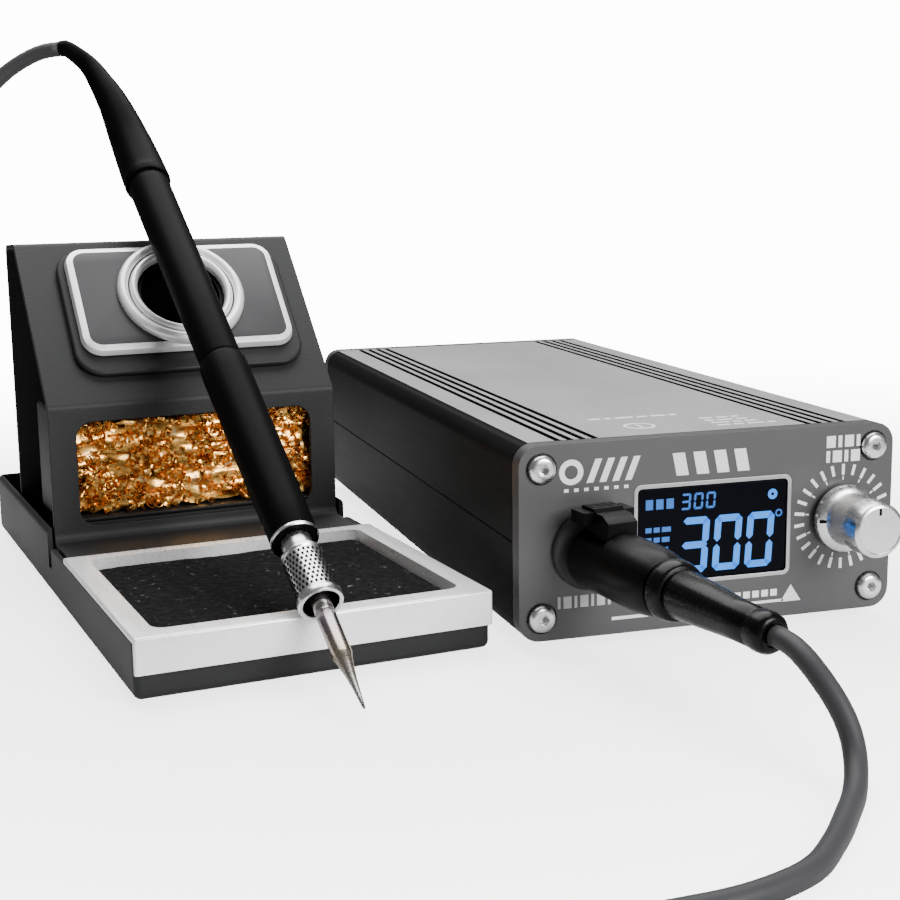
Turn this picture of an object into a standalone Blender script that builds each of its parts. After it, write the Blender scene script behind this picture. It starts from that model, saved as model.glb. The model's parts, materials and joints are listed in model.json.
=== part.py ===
"""A soldering iron station: a slim aluminium power unit, a folded steel stand with a sponge tray
and a brass wool box, and a fine iron that lies across the stand on its own lead.

Sizes are millimetres, and MM turns them into Blender's metres. The power unit is drawn in its own
frame: X to the right along the front panel, Y to the rear, Z up, from the front left corner on the
table. The stand has such a frame too, turned a little, and the iron is drawn along +Z from its tip.
"""

import math

import bmesh
import bpy
from mathutils import Matrix, Vector

MM = 0.001
GAP = 0.3

# The model's origin, under the middle of the whole object, in the power unit's frame.
MIDDLE = Vector((-6.8, 77.5, 0))

# Power unit
CASE_WIDTH = 88
CASE_LENGTH = 183.5
CASE_BOTTOM = 2.5
CASE_TOP = 44.5
CASE_SPLIT = 23.5
CASE_CORNER = 4.5
CASE_WALL = 2
PANEL_THICK = 4
FOOT_DIAMETER = 11
SCREW_INSET = 5
SCREW_BOSS = 9
SCREW_HOLE = 3.2
GROOVE_CENTRES = (14.5, 73.5)
GROOVE_STEP = 2.8
GROOVE_WIDTH = 1.5
GROOVE_DEPTH = 0.9
GROOVE_COUNT = 4

# Front panel
WINDOW = (26.6, 62.2, 12.8, 33.7)
SOCKET_AT = (15.8, 21.6)
SOCKET_DIAMETER = 14
KNOB_AT = (75.7, 24)
KNOB_SKIRT = 15
KNOB_STEM = 10.8
KNOB_CAP = 12
KNOB_REACH = 15.5
KNOB_PRESS = 0.5
SHAFT_DIAMETER = 6

# Inside: boards, mains supply and encoder, as left, right, front, rear, bottom and top
CONTROL_BOARD = (13, 78.5, 15.5, 17.1, 8, 40.2)
SOCKET_CLEARANCE = 1.2
POWER_BOARD = (10, 78, 52, 150, 10, 11.6)
CORE = (46, 74, 88, 116, 12, 36)
CORE_WINDOW = (94, 110, 16, 32)
WINDING = (49, 71, 94.5, 109.5, 16.4, 31.6)
HEAT_SINK = (14, 40, 62, 100, 12, 36)
FIN_COUNT = 4
FIN_STEP = 5.6
FIN_GAP = 3.6
CAPACITOR_AT = (26, 128, 12)
CAPACITOR_RADIUS = 8
CAPACITOR_HEIGHT = 25

# Rear panel, as left, right, bottom and top of each opening
INLET = (50, 78, 12, 33)
SWITCH = (16, 37, 15, 30)
SWITCH_TILT = math.radians(9)

# Feet, as left, right, front and rear
CASE_FEET = (12, 76, 14, 169)
STAND_FEET = (14, 61, 16, 150)
STAND_FOOT_DIAMETER = 10

# Plug: it leans to the right and droops a little in its socket
PLUG_DIAMETER = 14.2
PLUG_FRONT = 3
PLUG_END = 30.5
PIN_DIAMETER = 8.6
PIN_DEPTH = 3
COLLAR_DIAMETER = 12.4
COLLAR_END = 35.2
BOOT_DIAMETER = 9.8
BOOT_TIP_DIAMETER = 7.6
BOOT_END = 63.8
PLUG_LEAN = math.radians(8)
PLUG_DROOP = math.radians(1.1)
LATCH_PIVOT = (0, 5.6, 13)
LATCH_SLOT = 4.6
LATCH_WIDTH = 6.8
LATCH_HEAD_WIDTH = 12

# Stand
STAND_CORNER = Vector((-80.1, -8.1, 0))
STAND_TURN = math.radians(7.56)
STAND_WIDTH = 75.6
STAND_LENGTH = 165
SHEET = 1.2
BASE_BOTTOM = 1.3
FRONT_WALL_TOP = 12.8
REAR_WALL_TOP = 17
NOTCH = (84.5, 88)
SHELF_SPAN = (91, 114)
BODY_FRONT = 72
DECK_TOP = 13.2
FACE_Y = 88.4
FOLD_TOP = 46.1
CREST = (123.2, 83.2)
REAR_LEG_Y = 136
WOOL_WINDOW = (8.3, 67.3, 16.6, 42)
SLOPE = math.atan2(CREST[1] - FOLD_TOP, CREST[0] - FACE_Y)
HOLDER_X = 39.6
HOLDER_CLIMB = 29
PAD_SIZE = (58, 40, 1.6)
PLATE_SIZE = (54, 33, 2.2)
RING_OUTER = 33
RING_INNER = 22
RING_HEIGHT = 2.2
SLEEVE_DEPTH = 20
BODY_SCREWS = (14, 61)

# Tray and sponge
TRAY_LENGTH = 69.5
TRAY_RIM = 14.2
TRAY_RIM_WIDTH = 5
TRAY_BAND_BOTTOM = 6.8
SPONGE_TOP = 12.4

# Iron: where its axis passes over the tray's front rim and over the holder's ring
REST_FRONT = Vector((36.4, 0.6, 20.1))
REST_REAR = Vector((37.7, 114.5, 90.2))
TIP_AHEAD = 32.2
SHAFT_RADIUS = 2
FERRULE_SPAN = (26.8, 41.1)
FERRULE_RADIUS = 4.15
GRIP_SPAN = (44.9, 103.1)
HANDLE_REAR = 179.1
CARTRIDGE_END = 112

# Lead
LEAD_DIAMETER = 4
LEAD_STEP = 9
FLOOR_Z = LEAD_DIAMETER / 2 + 0.1
COIL_CENTRE = (-58, -144)
COIL_RADII = (20, 24)
COIL_LAYERS = (FLOOR_Z, FLOOR_Z + 4.1)
PLUG_ROUTE = (
    (24.75, -63.6, 20.4), (25.4, -67.9, 20), (25.9, -72.2, 18.6), (26.9, -75.8, 16), (28.2, -78.8, 12.6),
    (28.9, -81.2, 9.2), (28.6, -83.6, 6.1), (26.9, -87, 3.7), (24, -91.3, 2.4), (20, -96.2, 2.1),
    (12.4, -105, 2.1), (4, -112.5, 2.1), (-8, -116.9, 2.1), (-20, -118, 2.1), (-33, -118, 2.1),
    (-44.5, -118.2, 2.1),
)
IRON_ROUTE = (
    (-71.8, -118.3, 4.6), (-81, -117.2, 2.9), (-93, -113.2, 2.1), (-108, -103.6, 2.1), (-119.5, -86, 2.1),
    (-125.5, -60, 2.1), (-127.5, -25, 2.1), (-128, 15, 2.1), (-128.8, 60, 2.1), (-129.6, 92, 2.1),
    (-129.8, 110, 2.9), (-128.6, 125.5, 7.9), (-126.4, 137, 19), (-123.6, 145, 36), (-120.2, 150.4, 56),
    (-116.2, 154, 77), (-111.2, 156.6, 97), (-105, 158, 111.6), (-99.4, 158.5, 120.8),
    (-94.1, 158.5, 126.5), (-90.2, 158, 129.6), (-85.7, 157, 132.2), (-81.9, 155.7, 133.6),
    (-78.2, 154.6, 134.1),
)
BOOT_BENDS = ((-61.8, 136, 108.5), (-64.9, 144, 118.5), (-68, 149.5, 125.3), (-71, 153, 130.2))
BOOT_RADII = (6.05, 2.15)

FORWARD = Matrix.Rotation(math.radians(90), 4, "X")
BACKWARD = Matrix.Rotation(math.radians(90), 4, "X") @ Matrix.Rotation(math.pi, 4, "Y")


def clear_scene():
    """Start from an empty file."""
    for obj in list(bpy.data.objects):
        bpy.data.objects.remove(obj, do_unlink=True)


def finish(name, colour, roughness, metallic=0.0):
    """A plain material."""
    material = bpy.data.materials.new(name)
    material.use_nodes = True
    shader = material.node_tree.nodes["Principled BSDF"]
    shader.inputs["Base Color"].default_value = (*colour, 1)
    shader.inputs["Roughness"].default_value = roughness
    shader.inputs["Metallic"].default_value = metallic
    return material


def make_finishes():
    """Every finish that the station has, by name."""
    return {
        "anodised": finish("anodised", (0.16, 0.16, 0.17), 0.42, 0.9),
        "panel": finish("panel", (0.2, 0.2, 0.2), 0.45, 0.8),
        "powder": finish("powder", (0.055, 0.057, 0.06), 0.6),
        "chrome": finish("chrome", (0.8, 0.8, 0.8), 0.12, 1.0),
        "steel": finish("steel", (0.5, 0.49, 0.47), 0.3, 1.0),
        "silver": finish("silver", (0.75, 0.75, 0.76), 0.3, 1.0),
        "plate": finish("plate", (0.2, 0.21, 0.22), 0.45),
        "black": finish("black", (0.012, 0.012, 0.013), 0.45),
        "rubber": finish("rubber", (0.02, 0.02, 0.021), 0.7),
        "glass": finish("glass", (0.004, 0.004, 0.006), 0.08),
        "board": finish("board", (0.02, 0.12, 0.06), 0.5),
        "copper": finish("copper", (0.5, 0.2, 0.09), 0.35, 1.0),
        "brass": finish("brass", (0.75, 0.46, 0.13), 0.35, 1.0),
        "sponge": finish("sponge", (0.02, 0.02, 0.022), 0.95),
    }


def empty(name, location=(0, 0, 0), parent=None, turn=Matrix.Identity(4)):
    """A named frame that pieces hang on."""
    frame = bpy.data.objects.new(name, None)
    bpy.context.scene.collection.objects.link(frame)
    frame.parent = parent
    frame.matrix_local = Matrix.Translation(Vector(location) * MM) @ turn
    return frame


def piece(name, bm, parent, material, smooth=None, at=(0, 0, 0), turn=Matrix.Identity(4)):
    """A bmesh drawn in millimetres becomes a named object in its parent's frame."""
    bmesh.ops.recalc_face_normals(bm, faces=bm.faces[:])
    bmesh.ops.scale(bm, vec=(MM, MM, MM), verts=bm.verts[:])
    mesh = bpy.data.meshes.new(name)
    bm.to_mesh(mesh)
    bm.free()
    mesh.materials.append(material)
    if smooth:
        mesh.shade_smooth()
        mesh.set_sharp_from_angle(angle=math.radians(smooth))
    obj = bpy.data.objects.new(name, mesh)
    bpy.context.scene.collection.objects.link(obj)
    obj.parent = parent
    obj.matrix_local = Matrix.Translation(Vector(at) * MM) @ turn
    return obj


def cut(target, bm, parent=None, at=(0, 0, 0), turn=Matrix.Identity(4), operation="DIFFERENCE"):
    """Take a bmesh's shape out of a piece, or join it on, in the frame of the piece's parent."""
    count = len(target.modifiers)
    cutter = piece(f"{target.name}_cutter_{count}", bm, parent or target.parent,
                   target.data.materials[0], None, at, turn)
    cutter.hide_render = True
    cutter.display_type = "WIRE"
    cutter.hide_set(True)
    modifier = target.modifiers.new("cut", "BOOLEAN")
    modifier.object = cutter
    modifier.operation = operation
    modifier.solver = "EXACT"


def block(x0, x1, y0, y1, z0, z1, edge=0.0, segments=2):
    """A box between its limits, with its edges rounded where edge is given."""
    bm = bmesh.new()
    bmesh.ops.create_cube(bm, size=1)
    bmesh.ops.scale(bm, vec=(x1 - x0, y1 - y0, z1 - z0), verts=bm.verts[:])
    bmesh.ops.translate(bm, vec=((x0 + x1) / 2, (y0 + y1) / 2, (z0 + z1) / 2), verts=bm.verts[:])
    if edge:
        bmesh.ops.bevel(bm, geom=bm.edges[:], offset=edge, segments=segments, profile=0.5, affect="EDGES")
    return bm


def prism(outline, low, high, plane="XY"):
    """An outline pushed from low to high along the axis that its plane leaves free."""
    place = {
        "XY": lambda u, v, w: (u, v, w),
        "XZ": lambda u, v, w: (u, w, v),
        "YZ": lambda u, v, w: (w, u, v),
    }[plane]
    bm = bmesh.new()
    bottom = [bm.verts.new(place(u, v, low)) for u, v in outline]
    top = [bm.verts.new(place(u, v, high)) for u, v in outline]
    bm.faces.new(bottom)
    bm.faces.new(reversed(top))
    count = len(outline)
    for i in range(count):
        j = (i + 1) % count
        bm.faces.new((bottom[i], top[i], top[j], bottom[j]))
    return bm


def rounded(x0, x1, y0, y1, radius, steps=4):
    """The outline of a rectangle with round corners, anticlockwise."""
    outline = []
    corners = ((x1 - radius, y0 + radius, -90), (x1 - radius, y1 - radius, 0),
               (x0 + radius, y1 - radius, 90), (x0 + radius, y0 + radius, 180))
    for cx, cy, start in corners:
        for step in range(steps + 1):
            angle = math.radians(start + 90 * step / steps)
            outline.append((cx + radius * math.cos(angle), cy + radius * math.sin(angle)))
    return outline


def circle(radius, count, cx=0.0, cy=0.0):
    """The outline of a circle, anticlockwise."""
    angles = (2 * math.pi * i / count for i in range(count))
    return [(cx + radius * math.cos(a), cy + radius * math.sin(a)) for a in angles]


def turned(profile, count=24):
    """A closed profile of (radius, height) points turned round Z."""
    bm = bmesh.new()
    rings = []
    for radius, height in profile:
        if radius == 0:
            rings.append([bm.verts.new((0, 0, height))])
        else:
            rings.append([bm.verts.new((x, y, height)) for x, y in circle(radius, count)])
    for first, second in zip(rings, rings[1:] + rings[:1]):
        if len(first) == 1 and len(second) == 1:
            continue
        for i in range(count):
            j = (i + 1) % count
            corners = [first[i % len(first)], first[j % len(first)],
                       second[j % len(second)], second[i % len(second)]]
            bm.faces.new(dict.fromkeys(corners))
    return bm


def rod(radius, low, high, count=24, edge=0.0):
    """A solid cylinder along Z with chamfered ends."""
    if not edge:
        return turned(((0, low), (radius, low), (radius, high), (0, high)), count)
    return turned(((0, low), (radius - edge, low), (radius, low + edge),
                   (radius, high - edge), (radius - edge, high), (0, high)), count)


def pipe(outer, inner, low, high, count=24):
    """A tube along Z."""
    return turned(((outer, low), (outer, high), (inner, high), (inner, low)), count)


def strip(line, thick, low, high):
    """Folded sheet: a line of (y, z) points thickened to one side and pushed along X."""
    points = [Vector(p) for p in line]
    inner = []
    for i, point in enumerate(points):
        before = (point - points[i - 1]).normalized() if i else None
        after = (points[i + 1] - point).normalized() if i + 1 < len(points) else None
        along = before or after
        follow = after or before
        normals = [Vector((d.y, -d.x)) for d in (along, follow)]
        middle = (normals[0] + normals[1]).normalized()
        inner.append(point + middle * thick / middle.dot(normals[0]))
    outline = [tuple(p) for p in points] + [tuple(p) for p in reversed(inner)]
    return prism(outline, low, high, "YZ")


def smooth_line(points, step):
    """Points about a step apart on a smooth curve through the given ones."""
    knots = [Vector(p) for p in points]
    ends = [knots[0] * 2 - knots[1]] + knots + [knots[-1] * 2 - knots[-2]]
    line = []
    for a, b, c, d in zip(ends, ends[1:], ends[2:], ends[3:]):
        count = max(1, round((c - b).length / step))
        for i in range(count):
            t = i / count
            line.append(0.5 * (2 * b + (c - a) * t + (2 * a - 5 * b + 4 * c - d) * t * t
                               + (3 * b - a - 3 * c + d) * t * t * t))
    return line + [knots[-1]]


def tube(name, line, radii, parent, material, sides=2):
    """A solid bent rod along a line, as a bevelled curve with filled ends."""
    curve = bpy.data.curves.new(name, "CURVE")
    curve.dimensions = "3D"
    curve.bevel_depth = MM
    curve.bevel_resolution = sides
    curve.use_fill_caps = True
    spline = curve.splines.new("POLY")
    spline.points.add(len(line) - 1)
    for point, place, radius in zip(spline.points, line, radii):
        point.co = (*(place * MM), 1)
        point.radius = radius
    spline.use_smooth = True
    curve.materials.append(material)
    obj = bpy.data.objects.new(name, curve)
    bpy.context.scene.collection.objects.link(obj)
    obj.parent = parent
    return obj


# ---------------------------------------------------------------- power unit


def shell_outline(top_z, split_z, grooves):
    """One half of the extruded case, seen from the front, with a screw channel in each corner."""
    up = 1 if top_z > split_z else -1
    wall, corner, boss = CASE_WALL, CASE_CORNER, SCREW_BOSS
    channel_low, channel_high = SCREW_INSET - SCREW_HOLE / 2, SCREW_INSET + SCREW_HOLE / 2
    half = [(0, split_z)]
    for step in range(5):
        angle = math.radians(180 - 90 * step / 4)
        half.append((corner + corner * math.cos(angle), top_z - up * corner * (1 - math.sin(angle))))
    if grooves:
        first = GROOVE_CENTRES[0] - GROOVE_STEP * (GROOVE_COUNT - 1) / 2
        for i in range(GROOVE_COUNT):
            left = first + i * GROOVE_STEP - GROOVE_WIDTH / 2
            right = left + GROOVE_WIDTH
            floor = top_z - GROOVE_DEPTH
            half += [(left, top_z), (left, floor), (right, floor), (right, top_z)]
    steps = ((boss, wall), (boss, channel_low), (channel_low, channel_low), (channel_low, channel_high),
             (boss, channel_high), (boss, boss), (wall, boss))
    inside = [(x, top_z - up * depth) for x, depth in steps] + [(wall, split_z)]
    other = [(CASE_WIDTH - x, z) for x, z in reversed(half)]
    other_inside = [(CASE_WIDTH - x, z) for x, z in reversed(inside)]
    return half + other + other_inside + inside


def build_case(unit, look):
    """Two extruded halves, two end panels, their screws and the rubber feet."""
    low, high = PANEL_THICK + GAP, CASE_LENGTH - PANEL_THICK - GAP
    halves = (("case_top", CASE_TOP, CASE_SPLIT + GAP / 2, True),
              ("case_bottom", CASE_BOTTOM, CASE_SPLIT - GAP / 2, False))
    for name, outer, split, grooves in halves:
        shell = prism(shell_outline(outer, split, grooves), low, high, "XZ")
        piece(name, shell, unit, look["anodised"], 35)
    outline = rounded(0, CASE_WIDTH, CASE_BOTTOM, CASE_TOP, CASE_CORNER)
    front = piece("front_panel", prism(outline, 0, PANEL_THICK, "XZ"), unit, look["panel"], 35)
    rear = piece("rear_panel", prism(outline, CASE_LENGTH - PANEL_THICK, CASE_LENGTH, "XZ"),
                 unit, look["panel"], 35)
    for panel, face, inward, turn in ((front, 0, 1, FORWARD), (rear, CASE_LENGTH, -1, BACKWARD)):
        for number, (x, z) in enumerate(screw_places(), 1):
            cut(panel, screw_seat(), at=(x, face, z), turn=turn)
            side = "front" if inward > 0 else "rear"
            piece(f"{side}_screw_{number}", cap_screw(), unit, look["silver"], 35, (x, face, z), turn)
    left, right, near, far = CASE_FEET
    for number, (x, y) in enumerate(((left, near), (right, near), (left, far), (right, far)), 1):
        foot = rod(FOOT_DIAMETER / 2, 0, CASE_BOTTOM - GAP, 16, 0.5)
        piece(f"case_foot_{number}", foot, unit, look["rubber"], 35, (x, y, 0))
    return front, rear


def screw_places():
    """The four screw axes on an end panel."""
    right, top = CASE_WIDTH - SCREW_INSET, CASE_TOP - SCREW_INSET
    bottom = CASE_BOTTOM + SCREW_INSET
    return ((SCREW_INSET, top), (right, top), (SCREW_INSET, bottom), (right, bottom))


def screw_seat():
    """The cutter for a screw's hole and the round seat of its head, through a panel."""
    return turned(((0, -PANEL_THICK - 1), (SCREW_HOLE / 2, -PANEL_THICK - 1), (SCREW_HOLE / 2, -1),
                   (3.3, -1), (3.3, 1), (0, 1)), 16)


def cap_screw():
    """A button head screw with a socket, its head on +Z and its shank going down."""
    return turned(((0, -14), (1.25, -14), (1.25, -0.7), (3, -0.7), (3, 0.7), (2.5, 1.3),
                   (1.35, 1.3), (1.25, 0.1), (0, 0.1)), 16)


def build_display(unit, front, look):
    """The window in the front panel and the display module behind it."""
    x0, x1, z0, z1 = WINDOW
    cut(front, prism(rounded(x0, x1, z0, z1, 1, 2), -1, PANEL_THICK + 1, "XZ"))
    window = prism(rounded(x0 + GAP, x1 - GAP, z0 + GAP, z1 - GAP, 0.8, 2), 0.2, 1.7, "XZ")
    piece("display_window", window, unit, look["glass"])
    piece("display_module", block(x0 + 1, x1 - 1, 2.1, 12.5, z0 + 1, z1 - 1), unit, look["black"])


def build_boards(unit, look):
    """The control board behind the panel and the mains supply in the case."""
    control = piece("control_board", block(*CONTROL_BOARD), unit, look["board"])
    x, z = SOCKET_AT
    hole = rod(SOCKET_DIAMETER / 2 + SOCKET_CLEARANCE, -2, 2, 16)
    cut(control, hole, at=(x, (CONTROL_BOARD[2] + CONTROL_BOARD[3]) / 2, z), turn=FORWARD)
    piece("power_board", block(*POWER_BOARD), unit, look["board"])
    core = piece("transformer_core", block(*CORE), unit, look["black"])
    cut(core, block(CORE[0] - 1, CORE[1] + 1, *CORE_WINDOW))
    piece("transformer_winding", block(*WINDING, 2), unit, look["copper"], 35)
    capacitor = rod(CAPACITOR_RADIUS, 0, CAPACITOR_HEIGHT, 20, 0.8)
    piece("capacitor", capacitor, unit, look["black"], 35, CAPACITOR_AT)
    left, right, front, rear, bottom, top = HEAT_SINK
    sink = piece("heat_sink", block(*HEAT_SINK), unit, look["silver"])
    first = (left + right - FIN_GAP - FIN_STEP * (FIN_COUNT - 1)) / 2
    for i in range(FIN_COUNT):
        start = first + i * FIN_STEP
        cut(sink, block(start, start + FIN_GAP, front - 1, rear + 1, bottom + 4, top + 1))


def build_knob(unit, front, look):
    """The encoder behind the panel, and the knob that turns and presses with its shaft."""
    x, z = KNOB_AT
    cut(front, rod(3.8, -PANEL_THICK - 1, 1, 20), at=(x, 0, z), turn=FORWARD)
    body = piece("encoder_body", block(x - 6, x + 6, PANEL_THICK + GAP, 11.5, z - 6.5, z + 6.5),
                 unit, look["steel"])
    cut(body, rod(SHAFT_DIAMETER / 2 + GAP, -9.5, 0, 20), at=(x, 0, z), turn=FORWARD)
    axis = empty("knob_axis", (x, 0, z), unit, FORWARD)
    shaft = rod(SHAFT_DIAMETER / 2, -8, KNOB_REACH - 3.5, 20, 0.4)
    piece("encoder_shaft", shaft, axis, look["silver"], 35)
    base = KNOB_PRESS + GAP
    bore = SHAFT_DIAMETER / 2 + GAP
    profile = (
        (bore, base), (KNOB_SKIRT / 2 - 0.5, base), (KNOB_SKIRT / 2, base + 0.5),
        (KNOB_SKIRT / 2, base + 2), (KNOB_SKIRT / 2 - 1.2, base + 3.2), (KNOB_STEM / 2, base + 4.4),
        (KNOB_STEM / 2, KNOB_REACH - 6.3), (KNOB_CAP / 2, KNOB_REACH - 5.7),
        (KNOB_CAP / 2, KNOB_REACH - 0.7), (KNOB_CAP / 2 - 0.7, KNOB_REACH),
        (0, KNOB_REACH), (0, KNOB_REACH - 3.5 + GAP), (bore, KNOB_REACH - 3.5 + GAP),
    )
    piece("knob", turned(profile, 32), axis, look["silver"], 35)


def build_socket(unit, front, look):
    """The iron's round socket in the front panel, with a flange outside and a blind bore."""
    x, z = SOCKET_AT
    radius = SOCKET_DIAMETER / 2
    cut(front, rod(radius, -PANEL_THICK - 1, 1, 24), at=(x, 0, z), turn=FORWARD)
    inner = radius - GAP
    profile = ((5, GAP + 1.4), (5, -9), (0, -9), (0, -13), (inner, -13), (inner, GAP),
               (radius + 1.6, GAP), (radius + 1.6, GAP + 1.4))
    piece("iron_socket", turned(profile), unit, look["black"], 35, (x, 0, z), FORWARD)


def build_plug(unit, look):
    """The iron's plug: shell, latch lever, collar and boot, leaning and drooping in the socket."""
    x, z = SOCKET_AT
    turn = Matrix.Rotation(PLUG_LEAN, 4, "Z") @ Matrix.Rotation(PLUG_DROOP, 4, "X") @ FORWARD
    plug = empty("plug_axis", (x, 0, z), unit, turn)
    radius, pin = PLUG_DIAMETER / 2, PIN_DIAMETER / 2
    shape = ((0, -PIN_DEPTH), (pin - 0.3, -PIN_DEPTH), (pin, 0.5 - PIN_DEPTH), (pin, PLUG_FRONT),
             (radius - 0.6, PLUG_FRONT), (radius, PLUG_FRONT + 0.8), (radius, PLUG_END - 8),
             (radius - 0.9, PLUG_END - 1), (radius - 1.7, PLUG_END), (0, PLUG_END))
    body = piece("plug_shell", turned(shape, 28), plug, look["black"], 35)
    cut(body, block(-radius, radius, LATCH_SLOT, radius + 1, 1, LATCH_PIVOT[2] + 1.4), plug)
    lever = empty("latch_axis", LATCH_PIVOT, plug)
    outline = ((0.9, -10.1), (5, -10.1), (5.6, -9.4), (5.6, -5), (4.9, -4.2), (4.9, -1.6), (3.6, 0.8),
               (-0.2, 0.8), (-0.2, -2.5), (0.4, -4))
    half = LATCH_WIDTH / 2
    latch = piece("plug_latch", prism(outline, -half, half, "YZ"), lever, look["black"])
    half = LATCH_HEAD_WIDTH / 2
    cut(latch, block(-half, half, 2.4, 5, -9.7, -4.6), operation="UNION")
    collar = COLLAR_DIAMETER / 2
    shape = ((0, PLUG_END + GAP), (collar - 1, PLUG_END + GAP), (collar, PLUG_END + 1.2),
             (collar - 0.3, COLLAR_END - 1), (collar - 0.9, COLLAR_END), (0, COLLAR_END))
    piece("plug_collar", turned(shape), plug, look["black"], 35)
    boot, tip = BOOT_DIAMETER / 2, BOOT_TIP_DIAMETER / 2
    waist = BOOT_END - 10
    shape = [(0, COLLAR_END + GAP), (boot - 0.4, COLLAR_END + GAP), (boot, COLLAR_END + 0.8), (tip, waist),
             (tip, BOOT_END - 1.2), (tip - 0.5, BOOT_END - 0.3), (tip - 1, BOOT_END), (0, BOOT_END)]
    piece("plug_boot", turned(shape), plug, look["black"], 35)


def build_rear(unit, rear, look):
    """The mains inlet and the rocker switch in the rear panel."""
    x0, x1, z0, z1 = INLET
    back = CASE_LENGTH
    cut(rear, block(x0, x1, back - PANEL_THICK - 1, back + 1, z0, z1))
    inlet = piece("mains_inlet", block(x0 + GAP, x1 - GAP, back - 17, back + 1.5, z0 + GAP, z1 - GAP),
                  unit, look["black"])
    room = prism(rounded(x0 + 3, x1 - 3, z0 + 3.5, z1 - 3.5, 2.5, 3), back - 14, back + 2, "XZ")
    cut(inlet, room)
    x0, x1, z0, z1 = SWITCH
    cut(rear, block(x0, x1, back - PANEL_THICK - 1, back + 1, z0, z1))
    frame = piece("switch_frame", block(x0 + GAP, x1 - GAP, back - 15, back + 1.5, z0 + GAP, z1 - GAP),
                  unit, look["black"])
    cut(frame, block(x0 + 2, x1 - 2, back - 12.5, back + 2, z0 + 2, z1 - 2))
    pivot = empty("switch_axis", ((x0 + x1) / 2, back - 2.5, (z0 + z1) / 2), unit)
    outline = ((-7.9, 2.8), (-7.2, -2.4), (-3, -6.2), (3, -6.2), (7.2, -2.4), (7.9, 2.8), (0, 4))
    rocker = prism(outline, -(z1 - z0) / 2 + 2.4, (z1 - z0) / 2 - 2.4, "XY")
    tilt = Matrix.Rotation(SWITCH_TILT, 3, "Z")
    bmesh.ops.rotate(rocker, cent=(0, 0, 0), matrix=tilt, verts=rocker.verts[:])
    piece("power_switch", rocker, pivot, look["black"])


# --------------------------------------------------------------------- stand


def build_base(stand, look):
    """A folded pan with a low front, a notch in each wall, higher walls behind it and a shelf bracket."""
    pan = piece("stand_base", block(0, STAND_WIDTH, 1.2, STAND_LENGTH, BASE_BOTTOM, REAR_WALL_TOP, 1.6),
                stand, look["powder"], 35)
    top = REAR_WALL_TOP + 1
    cut(pan, block(SHEET, STAND_WIDTH - SHEET, 1.2 + SHEET, STAND_LENGTH - SHEET, BASE_BOTTOM + SHEET, top))
    cut(pan, block(-1, STAND_WIDTH + 1, 0, NOTCH[1], FRONT_WALL_TOP, top))
    cut(pan, block(-1, STAND_WIDTH + 1, NOTCH[0], NOTCH[1], FRONT_WALL_TOP - 5, top))
    left, right, shelf = 6, STAND_WIDTH - 6, REAR_WALL_TOP
    inner = shelf - SHEET
    legs = BASE_BOTTOM + SHEET - 0.4
    bridge = ((left, legs), (left + SHEET, legs), (left + SHEET, inner), (right - SHEET, inner),
              (right - SHEET, legs), (right, legs), (right, shelf), (left, shelf))
    cut(pan, prism(bridge, SHELF_SPAN[0], SHELF_SPAN[1], "XZ"), operation="UNION")
    left, right, near, far = STAND_FEET
    for number, (x, y) in enumerate(((left, near), (right, near), (left, far), (right, far)), 1):
        foot = rod(STAND_FOOT_DIAMETER / 2, 0, BASE_BOTTOM - GAP, 16)
        piece(f"stand_foot_{number}", foot, stand, look["rubber"], 35, (x, y, 0))


def build_body(stand, look):
    """The folded body: deck, window face, slanted face, top and rear leg, with its screws."""
    floor = BASE_BOTTOM + SHEET + GAP
    line = ((BODY_FRONT, floor), (BODY_FRONT, DECK_TOP), (FACE_Y, DECK_TOP), (FACE_Y, FOLD_TOP), CREST,
            (REAR_LEG_Y, CREST[1] - 0.6), (REAR_LEG_Y, floor + SHEET), (REAR_LEG_Y + 12, floor + SHEET))
    side = SHEET + GAP + 0.3
    body = piece("stand_body", strip(line, SHEET, side, STAND_WIDTH - side), stand, look["powder"])
    x0, x1, z0, z1 = WOOL_WINDOW
    cut(body, prism(rounded(x0, x1, z0, z1, 4), FACE_Y - 3, FACE_Y + 3, "XZ"))
    slope = holder_frame(stand)
    cut(body, rod(RING_INNER / 2 + 0.5, -6, 4, 28), slope)
    for number, x in enumerate(BODY_SCREWS, 1):
        y, z = REAR_LEG_Y + 6, floor + SHEET + GAP
        piece(f"stand_screw_{number}", pan_screw(), stand, look["silver"], 35, (x, y, z))
    return slope


def pan_screw():
    """A low round head that holds the body to the base."""
    return turned(((0, 0), (3.2, 0), (3.2, 0.8), (2.2, 1.8), (0, 1.8)), 16)


def holder_frame(stand):
    """The frame of the iron's holder: X to the right, Y up the slope, Z out of the slanted face."""
    y = FACE_Y + HOLDER_CLIMB * math.cos(SLOPE)
    z = FOLD_TOP + HOLDER_CLIMB * math.sin(SLOPE)
    return empty("holder", (HOLDER_X, y, z), stand, Matrix.Rotation(SLOPE, 4, "X"))


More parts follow.
